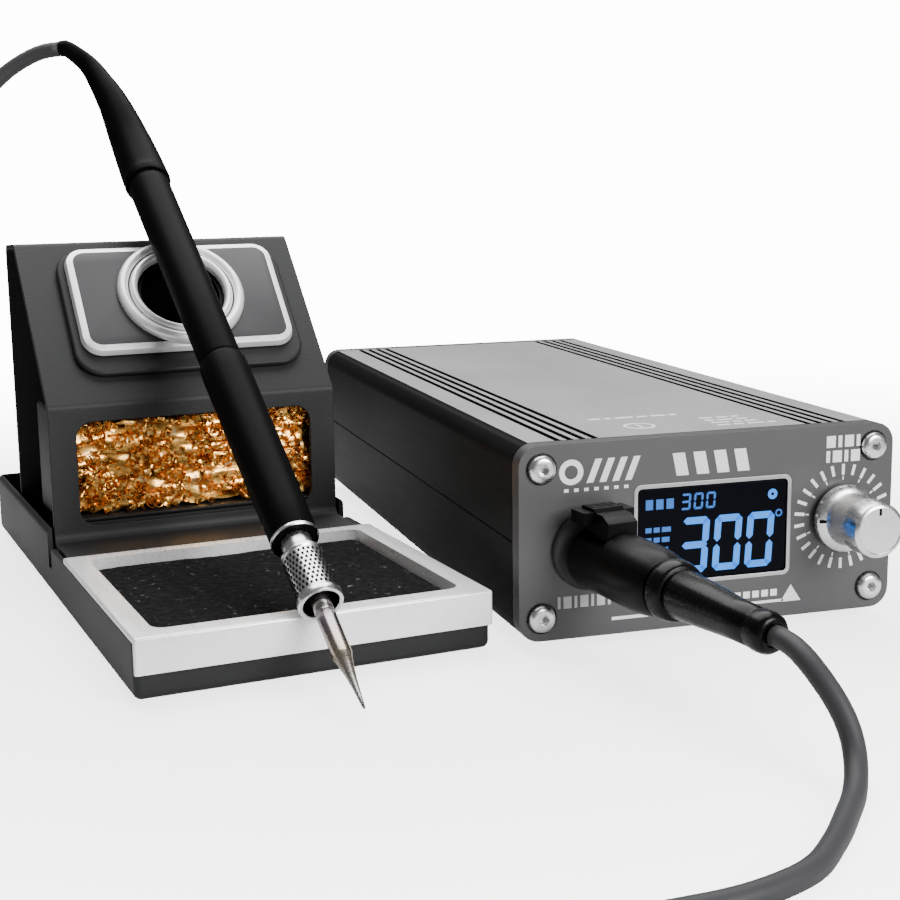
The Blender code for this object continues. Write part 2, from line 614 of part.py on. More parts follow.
def build_holder(slope, look):
    """The pad, the plate, the bright ring and the sleeve that goes through the slanted face."""
    hole = RING_INNER / 2
    level = GAP
    wide, high, thick = PAD_SIZE
    outline = rounded(-wide / 2, wide / 2, -high / 2 - 1.5, high / 2 - 2.5, 7)
    base = piece("holder_pad", prism(outline, level, level + thick), slope, look["powder"], 35)
    cut(base, rod(hole + 0.5, -1, 5, 28))
    level += thick + GAP
    wide, high, thick = PLATE_SIZE
    outline = rounded(-wide / 2, wide / 2, -high / 2, high / 2, 5)
    shape = prism(outline, level, level + thick)
    rim = [edge for edge in shape.edges if all(v.co.z > level + 1 for v in edge.verts)]
    bmesh.ops.bevel(shape, geom=rim, offset=0.9, segments=1, affect="EDGES")
    plate = piece("holder_plate", shape, slope, look["plate"], 35)
    cut(plate, rod(hole + 0.5, -1, 9, 28))
    level += thick + GAP
    outer = RING_OUTER / 2 - 0.5
    ring = ((outer, level), (outer, level + 1), (outer - 1.4, level + RING_HEIGHT),
            (outer - 2.6, level + 1.2), (hole + 1.6, level + 1.2), (hole + 0.8, level + RING_HEIGHT),
            (hole, level + 1.4), (hole, level))
    piece("holder_ring", turned(ring, 36), slope, look["chrome"], 35)
    sleeve = ((hole, -SLEEVE_DEPTH), (hole, level - GAP), (hole - 1.2, level - GAP),
              (hole - 1.2, -SLEEVE_DEPTH + 1.2), (5, -SLEEVE_DEPTH + 1.2), (5, -SLEEVE_DEPTH))
    piece("holder_sleeve", turned(sleeve, 28), slope, look["black"], 35)


def build_wool(stand, look):
    """The steel box behind the window, which slides out to the left, with its brass wool."""
    x0, x1, y0, y1 = 4, 71, FACE_Y + SHEET + GAP, 116
    z0, z1 = REAR_WALL_TOP + GAP + 0.9, 44
    box = piece("wool_box", block(x0, x1, y0, y1, z0 - 0.9, z1), stand, look["steel"])
    cut(box, block(x0 + 1, x1 - 1, y0 - 1, y1 - 1, z0, z1 + 1))
    wool = block(x0 + 1.3, x1 - 1.3, y0 + 0.2, y1 - 1.3, z0 + 0.3, z1 - 0.8, 3, 3)
    piece("brass_wool", wool, stand, look["brass"], 35)


def build_tray(stand, look):
    """The bright sponge tray that drops into the front of the base."""
    floor = BASE_BOTTOM + SHEET + GAP
    tray = piece("sponge_tray", block(0, STAND_WIDTH, 0, TRAY_LENGTH, floor, TRAY_RIM, 0.4, 1),
                 stand, look["chrome"], 35)
    inset = TRAY_RIM_WIDTH
    room = rounded(inset, STAND_WIDTH - inset, inset, TRAY_LENGTH - inset + 1, 3)
    cut(tray, prism(room, floor + 0.9, TRAY_RIM + 1))
    under = TRAY_RIM - 1.1
    skin = inset - 0.9
    cut(tray, block(-1, skin, 0.9, TRAY_LENGTH + 1, floor - 1, under))
    cut(tray, block(STAND_WIDTH - skin, STAND_WIDTH + 1, 0.9, TRAY_LENGTH + 1, floor - 1, under))
    cut(tray, block(-1, STAND_WIDTH + 1, 0.9, skin, floor - 1, under))
    cut(tray, block(-1, STAND_WIDTH + 1, TRAY_LENGTH - skin + 1, TRAY_LENGTH + 1, floor - 1, under))
    cut(tray, block(-1, STAND_WIDTH + 1, -1, 1.2, floor - 1, TRAY_BAND_BOTTOM))
    low, high = inset + 0.5, STAND_WIDTH - inset - 0.5
    pad = prism(rounded(low, high, low, TRAY_LENGTH - inset + 0.5, 3), floor + 0.9 + GAP, SPONGE_TOP)
    piece("sponge", pad, stand, look["sponge"], 35)


# ---------------------------------------------------------------------- iron


def iron_frame(stand):
    """The iron's frame: its tip, with Z along the iron to its rear."""
    along = (REST_REAR - REST_FRONT).normalized()
    turn = along.to_track_quat("Z", "Y").to_matrix().to_4x4()
    return empty("iron", REST_FRONT - along * TIP_AHEAD, stand, turn)


def build_iron(iron, look):
    """Handle, grip, ferrule, the contact block inside and the cartridge that plugs into it."""
    start, end = GRIP_SPAN
    bore = SHAFT_RADIUS + GAP
    grip = ((bore, start), (4.7, start), (5.1, start + 0.8), (5.2, start + 12), (5.5, end - 6),
            (5.5, end - 1.2), (5, end), (3.6, end), (3.6, end - 20), (bore, end - 20))
    piece("grip_sleeve", turned(grip, 24), iron, look["black"], 35)
    handle = ((3.3, end - 19.5), (3.3, end + GAP), (4.7, end + GAP), (4.85, end + 1),
              (5.3, HANDLE_REAR - 1), (5, HANDLE_REAR), (2.6, HANDLE_REAR), (2.6, end - 19.5))
    piece("handle_body", turned(handle, 24), iron, look["black"], 35)
    low, high = FERRULE_SPAN
    ferrule = ((bore, low), (4.3, low), (4.6, low + 0.3), (4.6, low + 1), (FERRULE_RADIUS, low + 1.3),
               (FERRULE_RADIUS, high - 1), (FERRULE_RADIUS - 0.6, high), (3.2, high), (3.2, start - GAP),
               (bore, start - GAP))
    piece("ferrule", turned(ferrule, 24), iron, look["silver"], 35)
    cartridge = ((0, 0), (0.35, 0.8), (1, 9), (1.7, 12), (SHAFT_RADIUS, 13), (SHAFT_RADIUS, end - 20),
                 (SHAFT_RADIUS, CARTRIDGE_END - 10), (1.6, CARTRIDGE_END), (0, CARTRIDGE_END))
    piece("cartridge", turned(cartridge, 20), iron, look["steel"], 35)
    block_low = CARTRIDGE_END - 6
    contact = ((2, block_low), (2.3, block_low), (2.3, CARTRIDGE_END + 12), (0, CARTRIDGE_END + 12),
               (0, CARTRIDGE_END + GAP), (2, CARTRIDGE_END + GAP))
    piece("contact_block", turned(contact, 20), iron, look["steel"], 35)


def boot_line(iron_in_unit):
    """The middle line of the iron's boot, from the handle's rear to the lead, in the unit's frame."""
    rear = iron_in_unit @ Vector((0, 0, (HANDLE_REAR + GAP) * MM)) / MM
    ahead = iron_in_unit @ Vector((0, 0, (HANDLE_REAR + GAP + 6) * MM)) / MM
    leaving = (Vector(IRON_ROUTE[-1]) - Vector(IRON_ROUTE[-2])).normalized()
    end = Vector(IRON_ROUTE[-1]) + leaving * GAP * 1.3
    return smooth_line([rear, ahead, *(Vector(p) for p in BOOT_BENDS), end + leaving * 2, end], 3)


def build_lead(unit, iron, look):
    """The iron's boot, and the lead in three solids: the plug's run, the coil and the iron's run."""
    bpy.context.view_layer.update()
    iron_in_unit = unit.matrix_world.inverted() @ iron.matrix_world
    line = boot_line(iron_in_unit)
    count = len(line) - 1
    wide, thin = BOOT_RADII
    radii = [thin + (wide - thin) * (1 - (i / count) ** 2) ** 1.6 for i in range(count + 1)]
    boot = tube("handle_boot", line, radii, iron, look["rubber"])
    boot.matrix_local = iron_in_unit.inverted()
    thick = LEAD_DIAMETER / 2
    for name, route in (("cable_plug_side", PLUG_ROUTE), ("cable_iron_side", IRON_ROUTE)):
        run = smooth_line(route, LEAD_STEP)
        tube(name, run, [thick] * len(run), unit, look["rubber"])
    inner, outer = COIL_RADII[0] - thick, COIL_RADII[1] + thick
    high = COIL_LAYERS[1] + thick
    edge = 1.2
    profile = ((outer - edge, 0.1), (outer, edge), (outer, high - edge), (outer - edge, high),
               (inner + edge, high), (inner, high - edge), (inner, edge), (inner + edge, 0.1))
    piece("cable_coil", turned(profile, 36), unit, look["rubber"], 35, (*COIL_CENTRE, 0))


def main():
    """Build the station."""
    clear_scene()
    look = make_finishes()
    unit = empty("power_unit", -MIDDLE)
    front, rear = build_case(unit, look)
    build_display(unit, front, look)
    build_boards(unit, look)
    build_knob(unit, front, look)
    build_socket(unit, front, look)
    build_plug(unit, look)
    build_rear(unit, rear, look)
    stand = empty("stand", STAND_CORNER, unit, Matrix.Rotation(STAND_TURN, 4, "Z"))
    build_base(stand, look)
    slope = build_body(stand, look)
    build_holder(slope, look)
    build_wool(stand, look)
    build_tray(stand, look)
    iron = iron_frame(stand)
    build_iron(iron, look)
    build_lead(unit, iron, look)
    bpy.context.view_layer.update()


main()
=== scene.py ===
"""Finished looks for the soldering station: power unit, stand, iron and lead.

Run as a script in Blender 4.5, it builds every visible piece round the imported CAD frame. Pieces are
drawn in millimetres in a local frame (the power unit, the stand, the holder, the plug or the iron)
and their places come from the CAD nodes.
"""

import json
import math
import random

import bmesh
import bpy
from bpy.props import FloatProperty, FloatVectorProperty, IntProperty, PointerProperty
from mathutils import Matrix, Vector, noise


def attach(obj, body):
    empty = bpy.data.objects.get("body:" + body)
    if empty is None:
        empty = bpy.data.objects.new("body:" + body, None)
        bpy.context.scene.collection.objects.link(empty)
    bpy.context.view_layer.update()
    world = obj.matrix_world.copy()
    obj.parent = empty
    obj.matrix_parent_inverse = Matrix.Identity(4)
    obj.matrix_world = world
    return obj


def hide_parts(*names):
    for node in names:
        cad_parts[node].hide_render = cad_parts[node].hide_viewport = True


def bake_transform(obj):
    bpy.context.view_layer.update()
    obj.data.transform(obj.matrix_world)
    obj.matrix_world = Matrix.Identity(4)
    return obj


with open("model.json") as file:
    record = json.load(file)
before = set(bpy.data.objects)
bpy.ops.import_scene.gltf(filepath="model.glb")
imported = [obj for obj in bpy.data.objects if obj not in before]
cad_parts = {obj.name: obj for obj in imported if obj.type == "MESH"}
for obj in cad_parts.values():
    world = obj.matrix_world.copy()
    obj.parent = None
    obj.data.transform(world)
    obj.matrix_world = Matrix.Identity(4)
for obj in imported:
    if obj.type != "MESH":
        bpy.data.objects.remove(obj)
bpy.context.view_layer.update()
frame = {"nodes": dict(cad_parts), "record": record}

bl_info = {
    "name": "Soldering Station",
    "version": (1, 0, 0),
    "blender": (4, 5, 0),
    "location": "3D View > Sidebar > Station",
    "description": "Builds the finished pieces of a soldering station",
    "category": "Object",
}

MM = 0.001
UP = Vector((0, 0, 1))
GAP = 0.3
PLUG_LENGTH = 63.8
FORWARD = Matrix.Rotation(math.radians(90), 4, "X")
BACKWARD = FORWARD @ Matrix.Rotation(math.pi, 4, "Y")


# ------------------------------------------------------- places from the frame


def points_of(node, turn=Matrix.Identity(4)):
    """A CAD node's points in millimetres, seen in a turned or moved frame."""
    back = turn.inverted()
    return [back @ (v.co / MM) for v in frame["nodes"][node].data.vertices]


def span(node, turn=Matrix.Identity(4)):
    """A CAD node's lowest and highest corners in a local frame, in millimetres."""
    points = points_of(node, turn)
    low = Vector(min(p[i] for p in points) for i in range(3))
    high = Vector(max(p[i] for p in points) for i in range(3))
    return low, high


def middle(node, turn=Matrix.Identity(4)):
    """The middle of a CAD node's box in a local frame."""
    low, high = span(node, turn)
    return (low + high) / 2


def centroid(node):
    """The mean of a CAD node's points, which is on the axis of a turned piece."""
    points = points_of(node)
    return sum(points, Vector()) / len(points)


def joint_axis(name):
    """A joint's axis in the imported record."""
    joints = frame["record"]["behaviour"]["joints"]
    return Vector(next(j["axis"] for j in joints if j["name"] == name)).normalized()


def widest_facing(node):
    """The outward direction of a CAD node's widest flat face that looks up."""
    mesh = frame["nodes"][node].data
    areas = {}
    for face in mesh.polygons:
        key = tuple(round(c, 3) for c in face.normal)
        areas[key] = areas.get(key, 0) + face.area
    return Vector(max((k for k in areas if k[2] > 0.1), key=lambda k: areas[k])).normalized()


def axes_frame(origin, x_axis, z_axis):
    """The frame with those X and Z directions at a point in millimetres."""
    x_axis = (x_axis - z_axis * x_axis.dot(z_axis)).normalized()
    turn = Matrix((x_axis, z_axis.cross(x_axis), z_axis)).transposed().to_4x4()
    return Matrix.Translation(origin) @ turn


def unit_frame():
    """The power unit's frame: from its front left corner on the table."""
    low, _ = span("front_panel")
    return Matrix.Translation((low.x, low.y, 0))


def stand_frame():
    """The stand's frame, turned as its drawer's slide is."""
    across = -joint_axis("wool_drawer_slide")
    turn = axes_frame(Vector(), across, UP)
    low, _ = span("sponge_tray", turn)
    return turn @ Matrix.Translation((low.x, low.y, 0))


def holder_frame():
    """The holder's frame: on its axis, level with the slanted face, Z out of the face."""
    out = widest_facing("holder_plate")
    turn = axes_frame(Vector(), -joint_axis("wool_drawer_slide"), out)
    ring = middle("holder_ring", turn)
    low, _ = span("holder_pad", turn)
    return turn @ Matrix.Translation((ring.x, ring.y, low.z))


def iron_frame():
    """The iron's frame: its tip, Z along the iron to the rear."""
    along = -joint_axis("cartridge_pull")
    turn = axes_frame(Vector(), Vector((1, 0, 0)), along)
    low, high = span("cartridge", turn)
    return turn @ Matrix.Translation(((low.x + high.x) / 2, (low.y + high.y) / 2, low.z))


def plug_frame():
    """The plug's frame: on the panel's face, Z along the plug to the lead."""
    out = (centroid("plug_boot") - centroid("plug_collar")).normalized()
    turn = axes_frame(Vector(), Vector((1, 0, 0)), out)
    centre = turn.inverted() @ centroid("plug_boot")
    end = span("plug_boot", turn)[1].z
    return turn @ Matrix.Translation((centre.x, centre.y, end - PLUG_LENGTH))


UNIT = unit_frame()
STAND = stand_frame()
HOLDER = holder_frame()
IRON = iron_frame()
PLUG = plug_frame()
PANEL_LOW, PANEL_HIGH = span("front_panel", UNIT)
CASE_LENGTH = span("rear_panel", UNIT)[1].y
CASE_WIDTH = PANEL_HIGH.x
KNOB = middle("knob", UNIT)
SOCKET = middle("iron_socket", UNIT)


# ------------------------------------------------------------------- settings


class UnitLooks(bpy.types.PropertyGroup):
    """Sizes and colours of the power unit."""

    corner: FloatProperty(name="Corner", description="Radius of the case's long corners", default=4.5,
                          min=1, max=9)
    groove_count: IntProperty(name="Grooves", description="Grooves in each band on top", default=4, min=1,
                              max=9)
    tick_count: IntProperty(name="Ticks", description="Marks round the knob", default=26, min=8, max=60)
    # The case's sides and top use a darker and a lighter copy of this colour: painted shade and painted
    # light.
    metal: FloatVectorProperty(name="Case", description="Anodised colour of the case", subtype="COLOR",
                               default=(0.13, 0.13, 0.134), min=0, max=1)
    panel: FloatVectorProperty(name="Panel", description="Colour of the end panels", subtype="COLOR",
                               default=(0.085, 0.085, 0.087), min=0, max=1)
    glow: FloatVectorProperty(name="Digits", description="Colour of the lit digits", subtype="COLOR",
                              default=(0.02, 0.26, 1.0), min=0, max=1)


class StandLooks(bpy.types.PropertyGroup):
    """Sizes and colours of the stand."""

    bend: FloatProperty(name="Bend", description="Outer radius of the folds in the sheet", default=2.2,
                        min=1.3, max=5)
    powder: FloatVectorProperty(name="Powder coat", description="Colour of the coated sheet", subtype="COLOR",
                                default=(0.0145, 0.0148, 0.0155), min=0, max=1)
    strands: IntProperty(name="Strands", description="Brass turnings in the wool", default=620, min=50,
                         max=900)
    brass: FloatVectorProperty(name="Brass", description="Colour of the turnings", subtype="COLOR",
                               default=(0.85, 0.45, 0.11), min=0, max=1)


class IronLooks(bpy.types.PropertyGroup):
    """Sizes and colours of the iron and its lead."""

    knurl_rows: IntProperty(name="Knurl rows", description="Rows of studs along the ferrule", default=9,
                            min=3, max=20)
    knurl_count: IntProperty(name="Knurl studs", description="Studs round the ferrule", default=26, min=8,
                             max=60)
    handle: FloatVectorProperty(name="Handle", description="Colour of the handle", subtype="COLOR",
                                default=(0.0018, 0.0018, 0.002), min=0, max=1)
    lead: FloatVectorProperty(name="Lead", description="Colour of the lead", subtype="COLOR",
                              default=(0.035, 0.035, 0.037), min=0, max=1)


class StageLooks(bpy.types.PropertyGroup):
    """Camera and lights."""

    lens: FloatProperty(name="Lens", description="Focal length in millimetres", default=62, min=20, max=200)
    key_power: FloatProperty(name="Key light", description="Strength of the overhead light", default=20,
                             min=0, unit="POWER")
    front_power: FloatProperty(name="Front light", description="Strength of the light in front",
                               default=16, min=0, unit="POWER")


# ----------------------------------------------------------------- materials


class Wire:
    """A shader socket that adds a Math node when it is used in an expression."""

    def __init__(self, finish, socket):
        self.finish = finish
        self.socket = socket

    def maths(self, operation, first, second):
        """A Math node on two wires or numbers."""
        return self.finish.node("ShaderNodeMath", {"operation": operation}, {0: first, 1: second})

    def __add__(self, other):
        return self.maths("ADD", self, other)

    def __radd__(self, other):
        return self.maths("ADD", other, self)

    def __sub__(self, other):
        return self.maths("SUBTRACT", self, other)

    def __rsub__(self, other):
        return self.maths("SUBTRACT", other, self)

    def __mul__(self, other):
        return self.maths("MULTIPLY", self, other)

    def __rmul__(self, other):
        return self.maths("MULTIPLY", other, self)

    def __gt__(self, other):
        return self.maths("GREATER_THAN", self, other)


class Finish:
    """A material that is built up from nodes."""

    def __init__(self, name):
        self.material = bpy.data.materials.new(name)
        self.material.use_nodes = True
        self.tree = self.material.node_tree
        self.shader = self.tree.nodes["Principled BSDF"]

    def node(self, kind, settings=None, inputs=None, output=0):
        """Add a node: its settings first, then the values or wires of its sockets."""
        made = self.tree.nodes.new(kind)
        for key, value in (settings or {}).items():
            if key == "stops":
                while len(made.color_ramp.elements) < len(value):
                    made.color_ramp.elements.new(1)
                for element, (place, colour) in zip(made.color_ramp.elements, value):
                    element.position = place
                    element.color = (*colour, 1)
            else:
                setattr(made, key, value)
        for key, value in (inputs or {}).items():
            self.join(value, made.inputs[key])
        return Wire(self, made.outputs[output])

    def join(self, value, socket):
        """Link a wire to a socket, or set the socket's value."""
        if isinstance(value, Wire):
            self.tree.links.new(value.socket, socket)
        else:
            socket.default_value = value

    def place(self, stretch=(1, 1, 1), turn=(0, 0, 0)):
        """Object coordinates in metres, turned and stretched."""
        coordinates = self.node("ShaderNodeTexCoord", output="Object")
        inputs = {"Vector": coordinates, "Scale": stretch, "Rotation": turn}
        return self.node("ShaderNodeMapping", None, inputs)

    def grain(self, scale, detail=2.0, stretch=(1, 1, 1), turn=(0, 0, 0), rough=0.5):
        """Noise with so many lumps to the metre."""
        return self.node("ShaderNodeTexNoise", None, {
            "Vector": self.place(stretch, turn), "Scale": scale, "Detail": detail, "Roughness": rough})

    def cells(self, scale, output="Distance"):
        """Distance from the nearest of so many random points to the metre."""
        return self.node("ShaderNodeTexVoronoi", None, {"Vector": self.place(), "Scale": scale}, output)

    def ramp(self, value, *stops):
        """Colours by a value from 0 to 1."""
        return self.node("ShaderNodeValToRGB", {"stops": stops}, {"Fac": value})

    def between(self, value, low, high):
        """Stretch a 0 to 1 value over a range."""
        return self.node("ShaderNodeMapRange", None, {"Value": value, 3: low, 4: high})

    def blend(self, factor, first, second):
        """Mix two colours."""
        first, second = (c if isinstance(c, Wire) else (*c, 1) for c in (first, second))
        return self.node("ShaderNodeMix", {"data_type": "RGBA"}, {0: factor, 6: first, 7: second}, 2)

    def bump(self, height, strength=0.3, depth=0.0001):
        """A normal from a height."""
        return self.node("ShaderNodeBump", None, {"Height": height, "Strength": strength, "Distance": depth})

    def surface(self, **sockets):
        """Set the shader's sockets, named with underscores, and give the material."""
        for key, value in sockets.items():
            socket = self.shader.inputs[key.replace("_", " ")]
            if not isinstance(value, Wire) and socket.type == "RGBA":
                value = (*value, 1)
            self.join(value, socket)
        return self.material


def shade(colour, factor):
    """A lighter or darker colour."""
    return tuple(min(1.0, c * factor) for c in colour)


def anodised(name, colour, stretch=(1, 0.02, 1), roughness=0.4, metallic=0.85, shine=0.5):
    """Blasted and anodised aluminium, with faint extrusion lines along Y."""
    f = Finish(name)
    lines = f.grain(2600, 2, stretch)
    blast = f.grain(5200, 2)
    wear = f.grain(24, 3)
    colour_now = f.blend(f.between(wear, 0.2, 0.8), shade(colour, 0.88), shade(colour, 1.14))
    rough = f.between(wear * 0.5 + lines * 0.5, roughness - 0.07, roughness + 0.09)
    height = lines * 0.6 + blast * 0.4
    return f.surface(Base_Color=colour_now, Metallic=metallic, Roughness=rough, Specular_IOR_Level=shine,
                     Normal=f.bump(height, 0.16, 0.00005))


def powder_coat(name, colour, roughness=0.52):
    """Fine textured powder coat on steel sheet."""
    f = Finish(name)
    peel = f.cells(1500)
    fine = f.grain(3800, 2)
    cloud = f.grain(30, 3)
    colour_now = f.blend(cloud, shade(colour, 0.82), shade(colour, 1.25))
    rough = f.between(cloud * 0.5 + fine * 0.5, roughness - 0.08, roughness + 0.1)
    return f.surface(Base_Color=colour_now, Roughness=rough, Specular_IOR_Level=0.22,
                     Normal=f.bump(peel + fine * 0.5, 0.35, 0.00006))


def bright(name, colour, roughness=0.1, wave=0.25, scale=130, metallic=1.0):
    """Plated or polished metal with gentle waves and fine scratches."""
    f = Finish(name)
    soft = f.grain(scale, 2)
    scratch = f.grain(900, 3, (1, 0.06, 1), (0, 0, 0.5))
    rough = f.between(scratch, roughness * 0.6, roughness * 1.7)
    height = soft * 0.9 + scratch * 0.1
    tint = f.blend(soft, shade(colour, 0.92), shade(colour, 1.05))
    return f.surface(Base_Color=tint, Metallic=metallic, Roughness=rough, Normal=f.bump(height, wave, 0.0004))


def moulded(name, colour, roughness=0.42, grain=2600, depth=0.00004, shine=0.3):
    """Moulded plastic or rubber with a fine grain."""
    f = Finish(name)
    fine = f.cells(grain)
    cloud = f.grain(45, 3)
    colour_now = f.blend(cloud, shade(colour, 0.8), shade(colour, 1.3))
    rough = f.between(cloud * 0.6 + fine * 0.4, roughness - 0.07, roughness + 0.1)
    return f.surface(Base_Color=colour_now, Roughness=rough, Specular_IOR_Level=shine,
                     Normal=f.bump(fine, 0.25, depth))


def polished_glass():
    """The dark display window."""
    f = Finish("dark_glass")
    haze = f.grain(60, 2)
    colour = f.blend(haze, (0.001, 0.001, 0.002), (0.002, 0.0025, 0.005))
    return f.surface(Base_Color=colour, Roughness=f.between(haze, 0.03, 0.07), Specular_IOR_Level=0.03)


def lit(name, colour, strength):
    """A lit segment of the display."""
    f = Finish(name)
    uneven = f.grain(420, 2)
    glow = f.blend(uneven, shade(colour, 0.75), shade(colour, 1.2))
    return f.surface(Base_Color=shade(colour, 0.3), Roughness=0.4, Emission_Color=glow,
                     Emission_Strength=strength)


def ink(name, colour):
    """Screen-printed ink, a little uneven at its scale."""
    f = Finish(name)
    thin = f.grain(2400, 2)
    return f.surface(Base_Color=f.blend(thin, shade(colour, 0.82), shade(colour, 1.05)),
                     Roughness=f.between(thin, 0.45, 0.65))


def brass_turnings(colour):
    """Brass wool: each stretch of a strand turns from pale gold to orange."""
    f = Finish("brass_turnings")
    patch = f.grain(260, 3)
    tint = f.ramp(patch, (0.28, (0.35, 0.13, 0.02)), (0.45, colour), (0.6, shade(colour, 1.2)),
                  (0.75, (1, 0.8, 0.45)))
    return f.surface(Base_Color=tint, Metallic=1.0, Roughness=f.between(patch, 0.16, 0.38),
                     Normal=f.bump(f.grain(1500, 2), 0.2, 0.0001))


def foam(name):
    """Black open-cell sponge with grey specks."""
    f = Finish(name)
    pores = f.cells(620)
    fine = f.grain(1500, 3)
    specks = f.grain(520, 4, rough=0.7) > 0.66
    base = f.blend(f.between(pores, 0, 1), (0.003, 0.003, 0.0035), (0.012, 0.012, 0.013))
    colour = f.blend(specks * 0.5, base, (0.2, 0.2, 0.21))
    return f.surface(Base_Color=colour, Roughness=f.between(fine, 0.85, 1.0), Specular_IOR_Level=0.05,
                     Normal=f.bump(pores * 0.8 + fine * 0.4, 0.9, 0.0006))


def heat_steel(along, start):
    """Turned steel that the heat has tinted towards the tip."""
    f = Finish("heat_steel")
    dot = f.node("ShaderNodeVectorMath", {"operation": "DOT_PRODUCT"}, {0: f.place(), 1: tuple(along)},
                 "Value")
    length = (dot - start) * 22.0 + (f.grain(90, 3) - 0.5) * 0.12
    tint = f.ramp(length, (0.0, (0.42, 0.41, 0.4)), (0.12, (0.62, 0.61, 0.6)), (0.3, (0.5, 0.42, 0.32)),
                  (0.45, (0.36, 0.3, 0.34)), (0.62, (0.52, 0.5, 0.47)), (1.0, (0.6, 0.59, 0.57)))
    rings = f.grain(3000, 2, tuple(1 if abs(c) > 0.5 else 0.05 for c in along))
    return f.surface(Base_Color=tint, Metallic=1.0, Roughness=f.between(rings, 0.16, 0.36),
                     Normal=f.bump(rings, 0.15, 0.00005))


def circuit_board():
    """Green solder mask with copper tracks under it."""
    f = Finish("circuit_board")
    tracks = f.cells(420) > 0.22
    cloud = f.grain(60, 2)
    colour = f.blend(tracks * 0.6, (0.012, 0.07, 0.035), (0.03, 0.16, 0.075))
    return f.surface(Base_Color=colour, Roughness=f.between(cloud, 0.25, 0.42),
                     Normal=f.bump(tracks, 0.2, 0.00003))


def winding():
    """Enamelled copper wire, wound in layers."""
    f = Finish("copper_winding")
    turns = f.node("ShaderNodeTexWave", {"bands_direction": "Z"}, {"Vector": f.place(), "Scale": 500.0,
                                                                "Distortion": 0.6, "Detail": 1.0})
    colour = f.blend(turns, (0.3, 0.09, 0.035), (0.7, 0.28, 0.12))
    return f.surface(Base_Color=colour, Metallic=0.9, Roughness=f.between(turns, 0.25, 0.45),
                     Normal=f.bump(turns, 0.5, 0.0002))


def pale_floor():
    """A plain pale floor, a little mottled."""
    f = Finish("pale_floor")
    cloud = f.grain(6, 2)
    away = f.node("ShaderNodeVectorMath", {"operation": "LENGTH"}, {0: f.place()}, "Value")
    fade = f.node("ShaderNodeMapRange", {"interpolation_type": "SMOOTHSTEP"}, {
        "Value": away, 1: 0.1, 2: 0.5, 3: 0.8, 4: 0.0})
    return f.surface(Base_Color=f.blend(cloud, (0.93, 0.93, 0.93), (0.95, 0.95, 0.95)), Alpha=fade,
                     Roughness=f.between(cloud, 0.5, 0.6), Specular_IOR_Level=0.25)


LOOKS = {}


def make_looks(scene):
    """Every finish, by name."""
    unit, stand, iron = scene.unit_looks, scene.stand_looks, scene.iron_looks
    along = -joint_axis("cartridge_pull")
    tip = IRON.translation * MM
    LOOKS.update({
        # The case's sides and top are shaded and lit copies of one anodised colour: painted shade on the
        # sides (0.06 times the colour, not metal) and painted light on the top (3.6 times the colour).
        "case": anodised("case_metal", shade(tuple(unit.metal), 0.06), metallic=0.0, shine=0.02),
        "case_top": anodised("case_top_metal", shade(tuple(unit.metal), 3.6), metallic=0.85),
        "panel": anodised("panel_metal", tuple(unit.panel), (1, 1, 1), 0.44, 0.7),
        "silver": bright("silver_metal", (0.78, 0.78, 0.79), 0.24, 0.08, 600),
        "steel": bright("brushed_steel", (0.5, 0.49, 0.47), 0.42, 0.12, 500),
        "chrome": bright("tray_chrome", (0.97, 0.97, 0.97), 0.26, 0.25, 95, 0.35),
        "bezel": bright("bezel_metal", (0.42, 0.42, 0.43), 0.3, 0.05, 600),
        "polished": bright("polished_edge", (0.95, 0.95, 0.95), 0.3, 0.05, 300, 0.45),
        "powder": powder_coat("powder_coat", tuple(stand.powder)),
        "pad": powder_coat("pad_coat", shade(tuple(stand.powder), 0.85), 0.5),
        "plate": anodised("plate_metal", (0.045, 0.045, 0.047), (1, 1, 1), 0.42, 0.3, 0.3),
        "black": moulded("black_plastic", (0.002, 0.002, 0.0022), 0.34, shine=0.09),
        "gloss": moulded("gloss_plastic", (0.002, 0.002, 0.0022), 0.25, shine=0.14),
        # Near-black finish for the grooves on top: painted shade in the recesses.
        "groove": moulded("groove_shadow", (0.004, 0.004, 0.004), 0.7, shine=0.1),
        "socket": moulded("socket_plastic", (0.02, 0.02, 0.021), 0.5),
        "handle": moulded("handle_plastic", tuple(iron.handle), 0.45, 3200, 0.00002, 0.03),
        "rubber": moulded("black_rubber", (0.002, 0.002, 0.0022), 0.45, 1800, 0.00004, 0.03),
        "lead": moulded("lead_rubber", tuple(iron.lead), 0.5, 2200, 0.00004, 0.2),
        "glass": polished_glass(),
        "lit": lit("lit_segment", tuple(unit.glow), 1.2),
        "dim": lit("dim_segment", tuple(unit.glow), 0.35),
        "ink": ink("white_ink", (0.85, 0.85, 0.85)),
        "faint_ink": ink("grey_ink", (0.55, 0.55, 0.55)),
        "brass": brass_turnings(tuple(stand.brass)),
        "foam": foam("black_foam"),
        "tip": heat_steel(along, tip.dot(along)),
        "board": circuit_board(),
        "winding": winding(),
    })


# -------------------------------------------------------------------- shapes


def block(x0, x1, y0, y1, z0, z1, edge=0.0, segments=3):
    """A box between its limits, with its edges rounded where edge is given."""
    bm = bmesh.new()
    bmesh.ops.create_cube(bm, size=1)
    bmesh.ops.scale(bm, vec=(x1 - x0, y1 - y0, z1 - z0), verts=bm.verts[:])
    bmesh.ops.translate(bm, vec=((x0 + x1) / 2, (y0 + y1) / 2, (z0 + z1) / 2), verts=bm.verts[:])
    if edge:
        bmesh.ops.bevel(bm, geom=bm.edges[:], offset=edge, segments=segments, profile=0.5, affect="EDGES")
    return bm


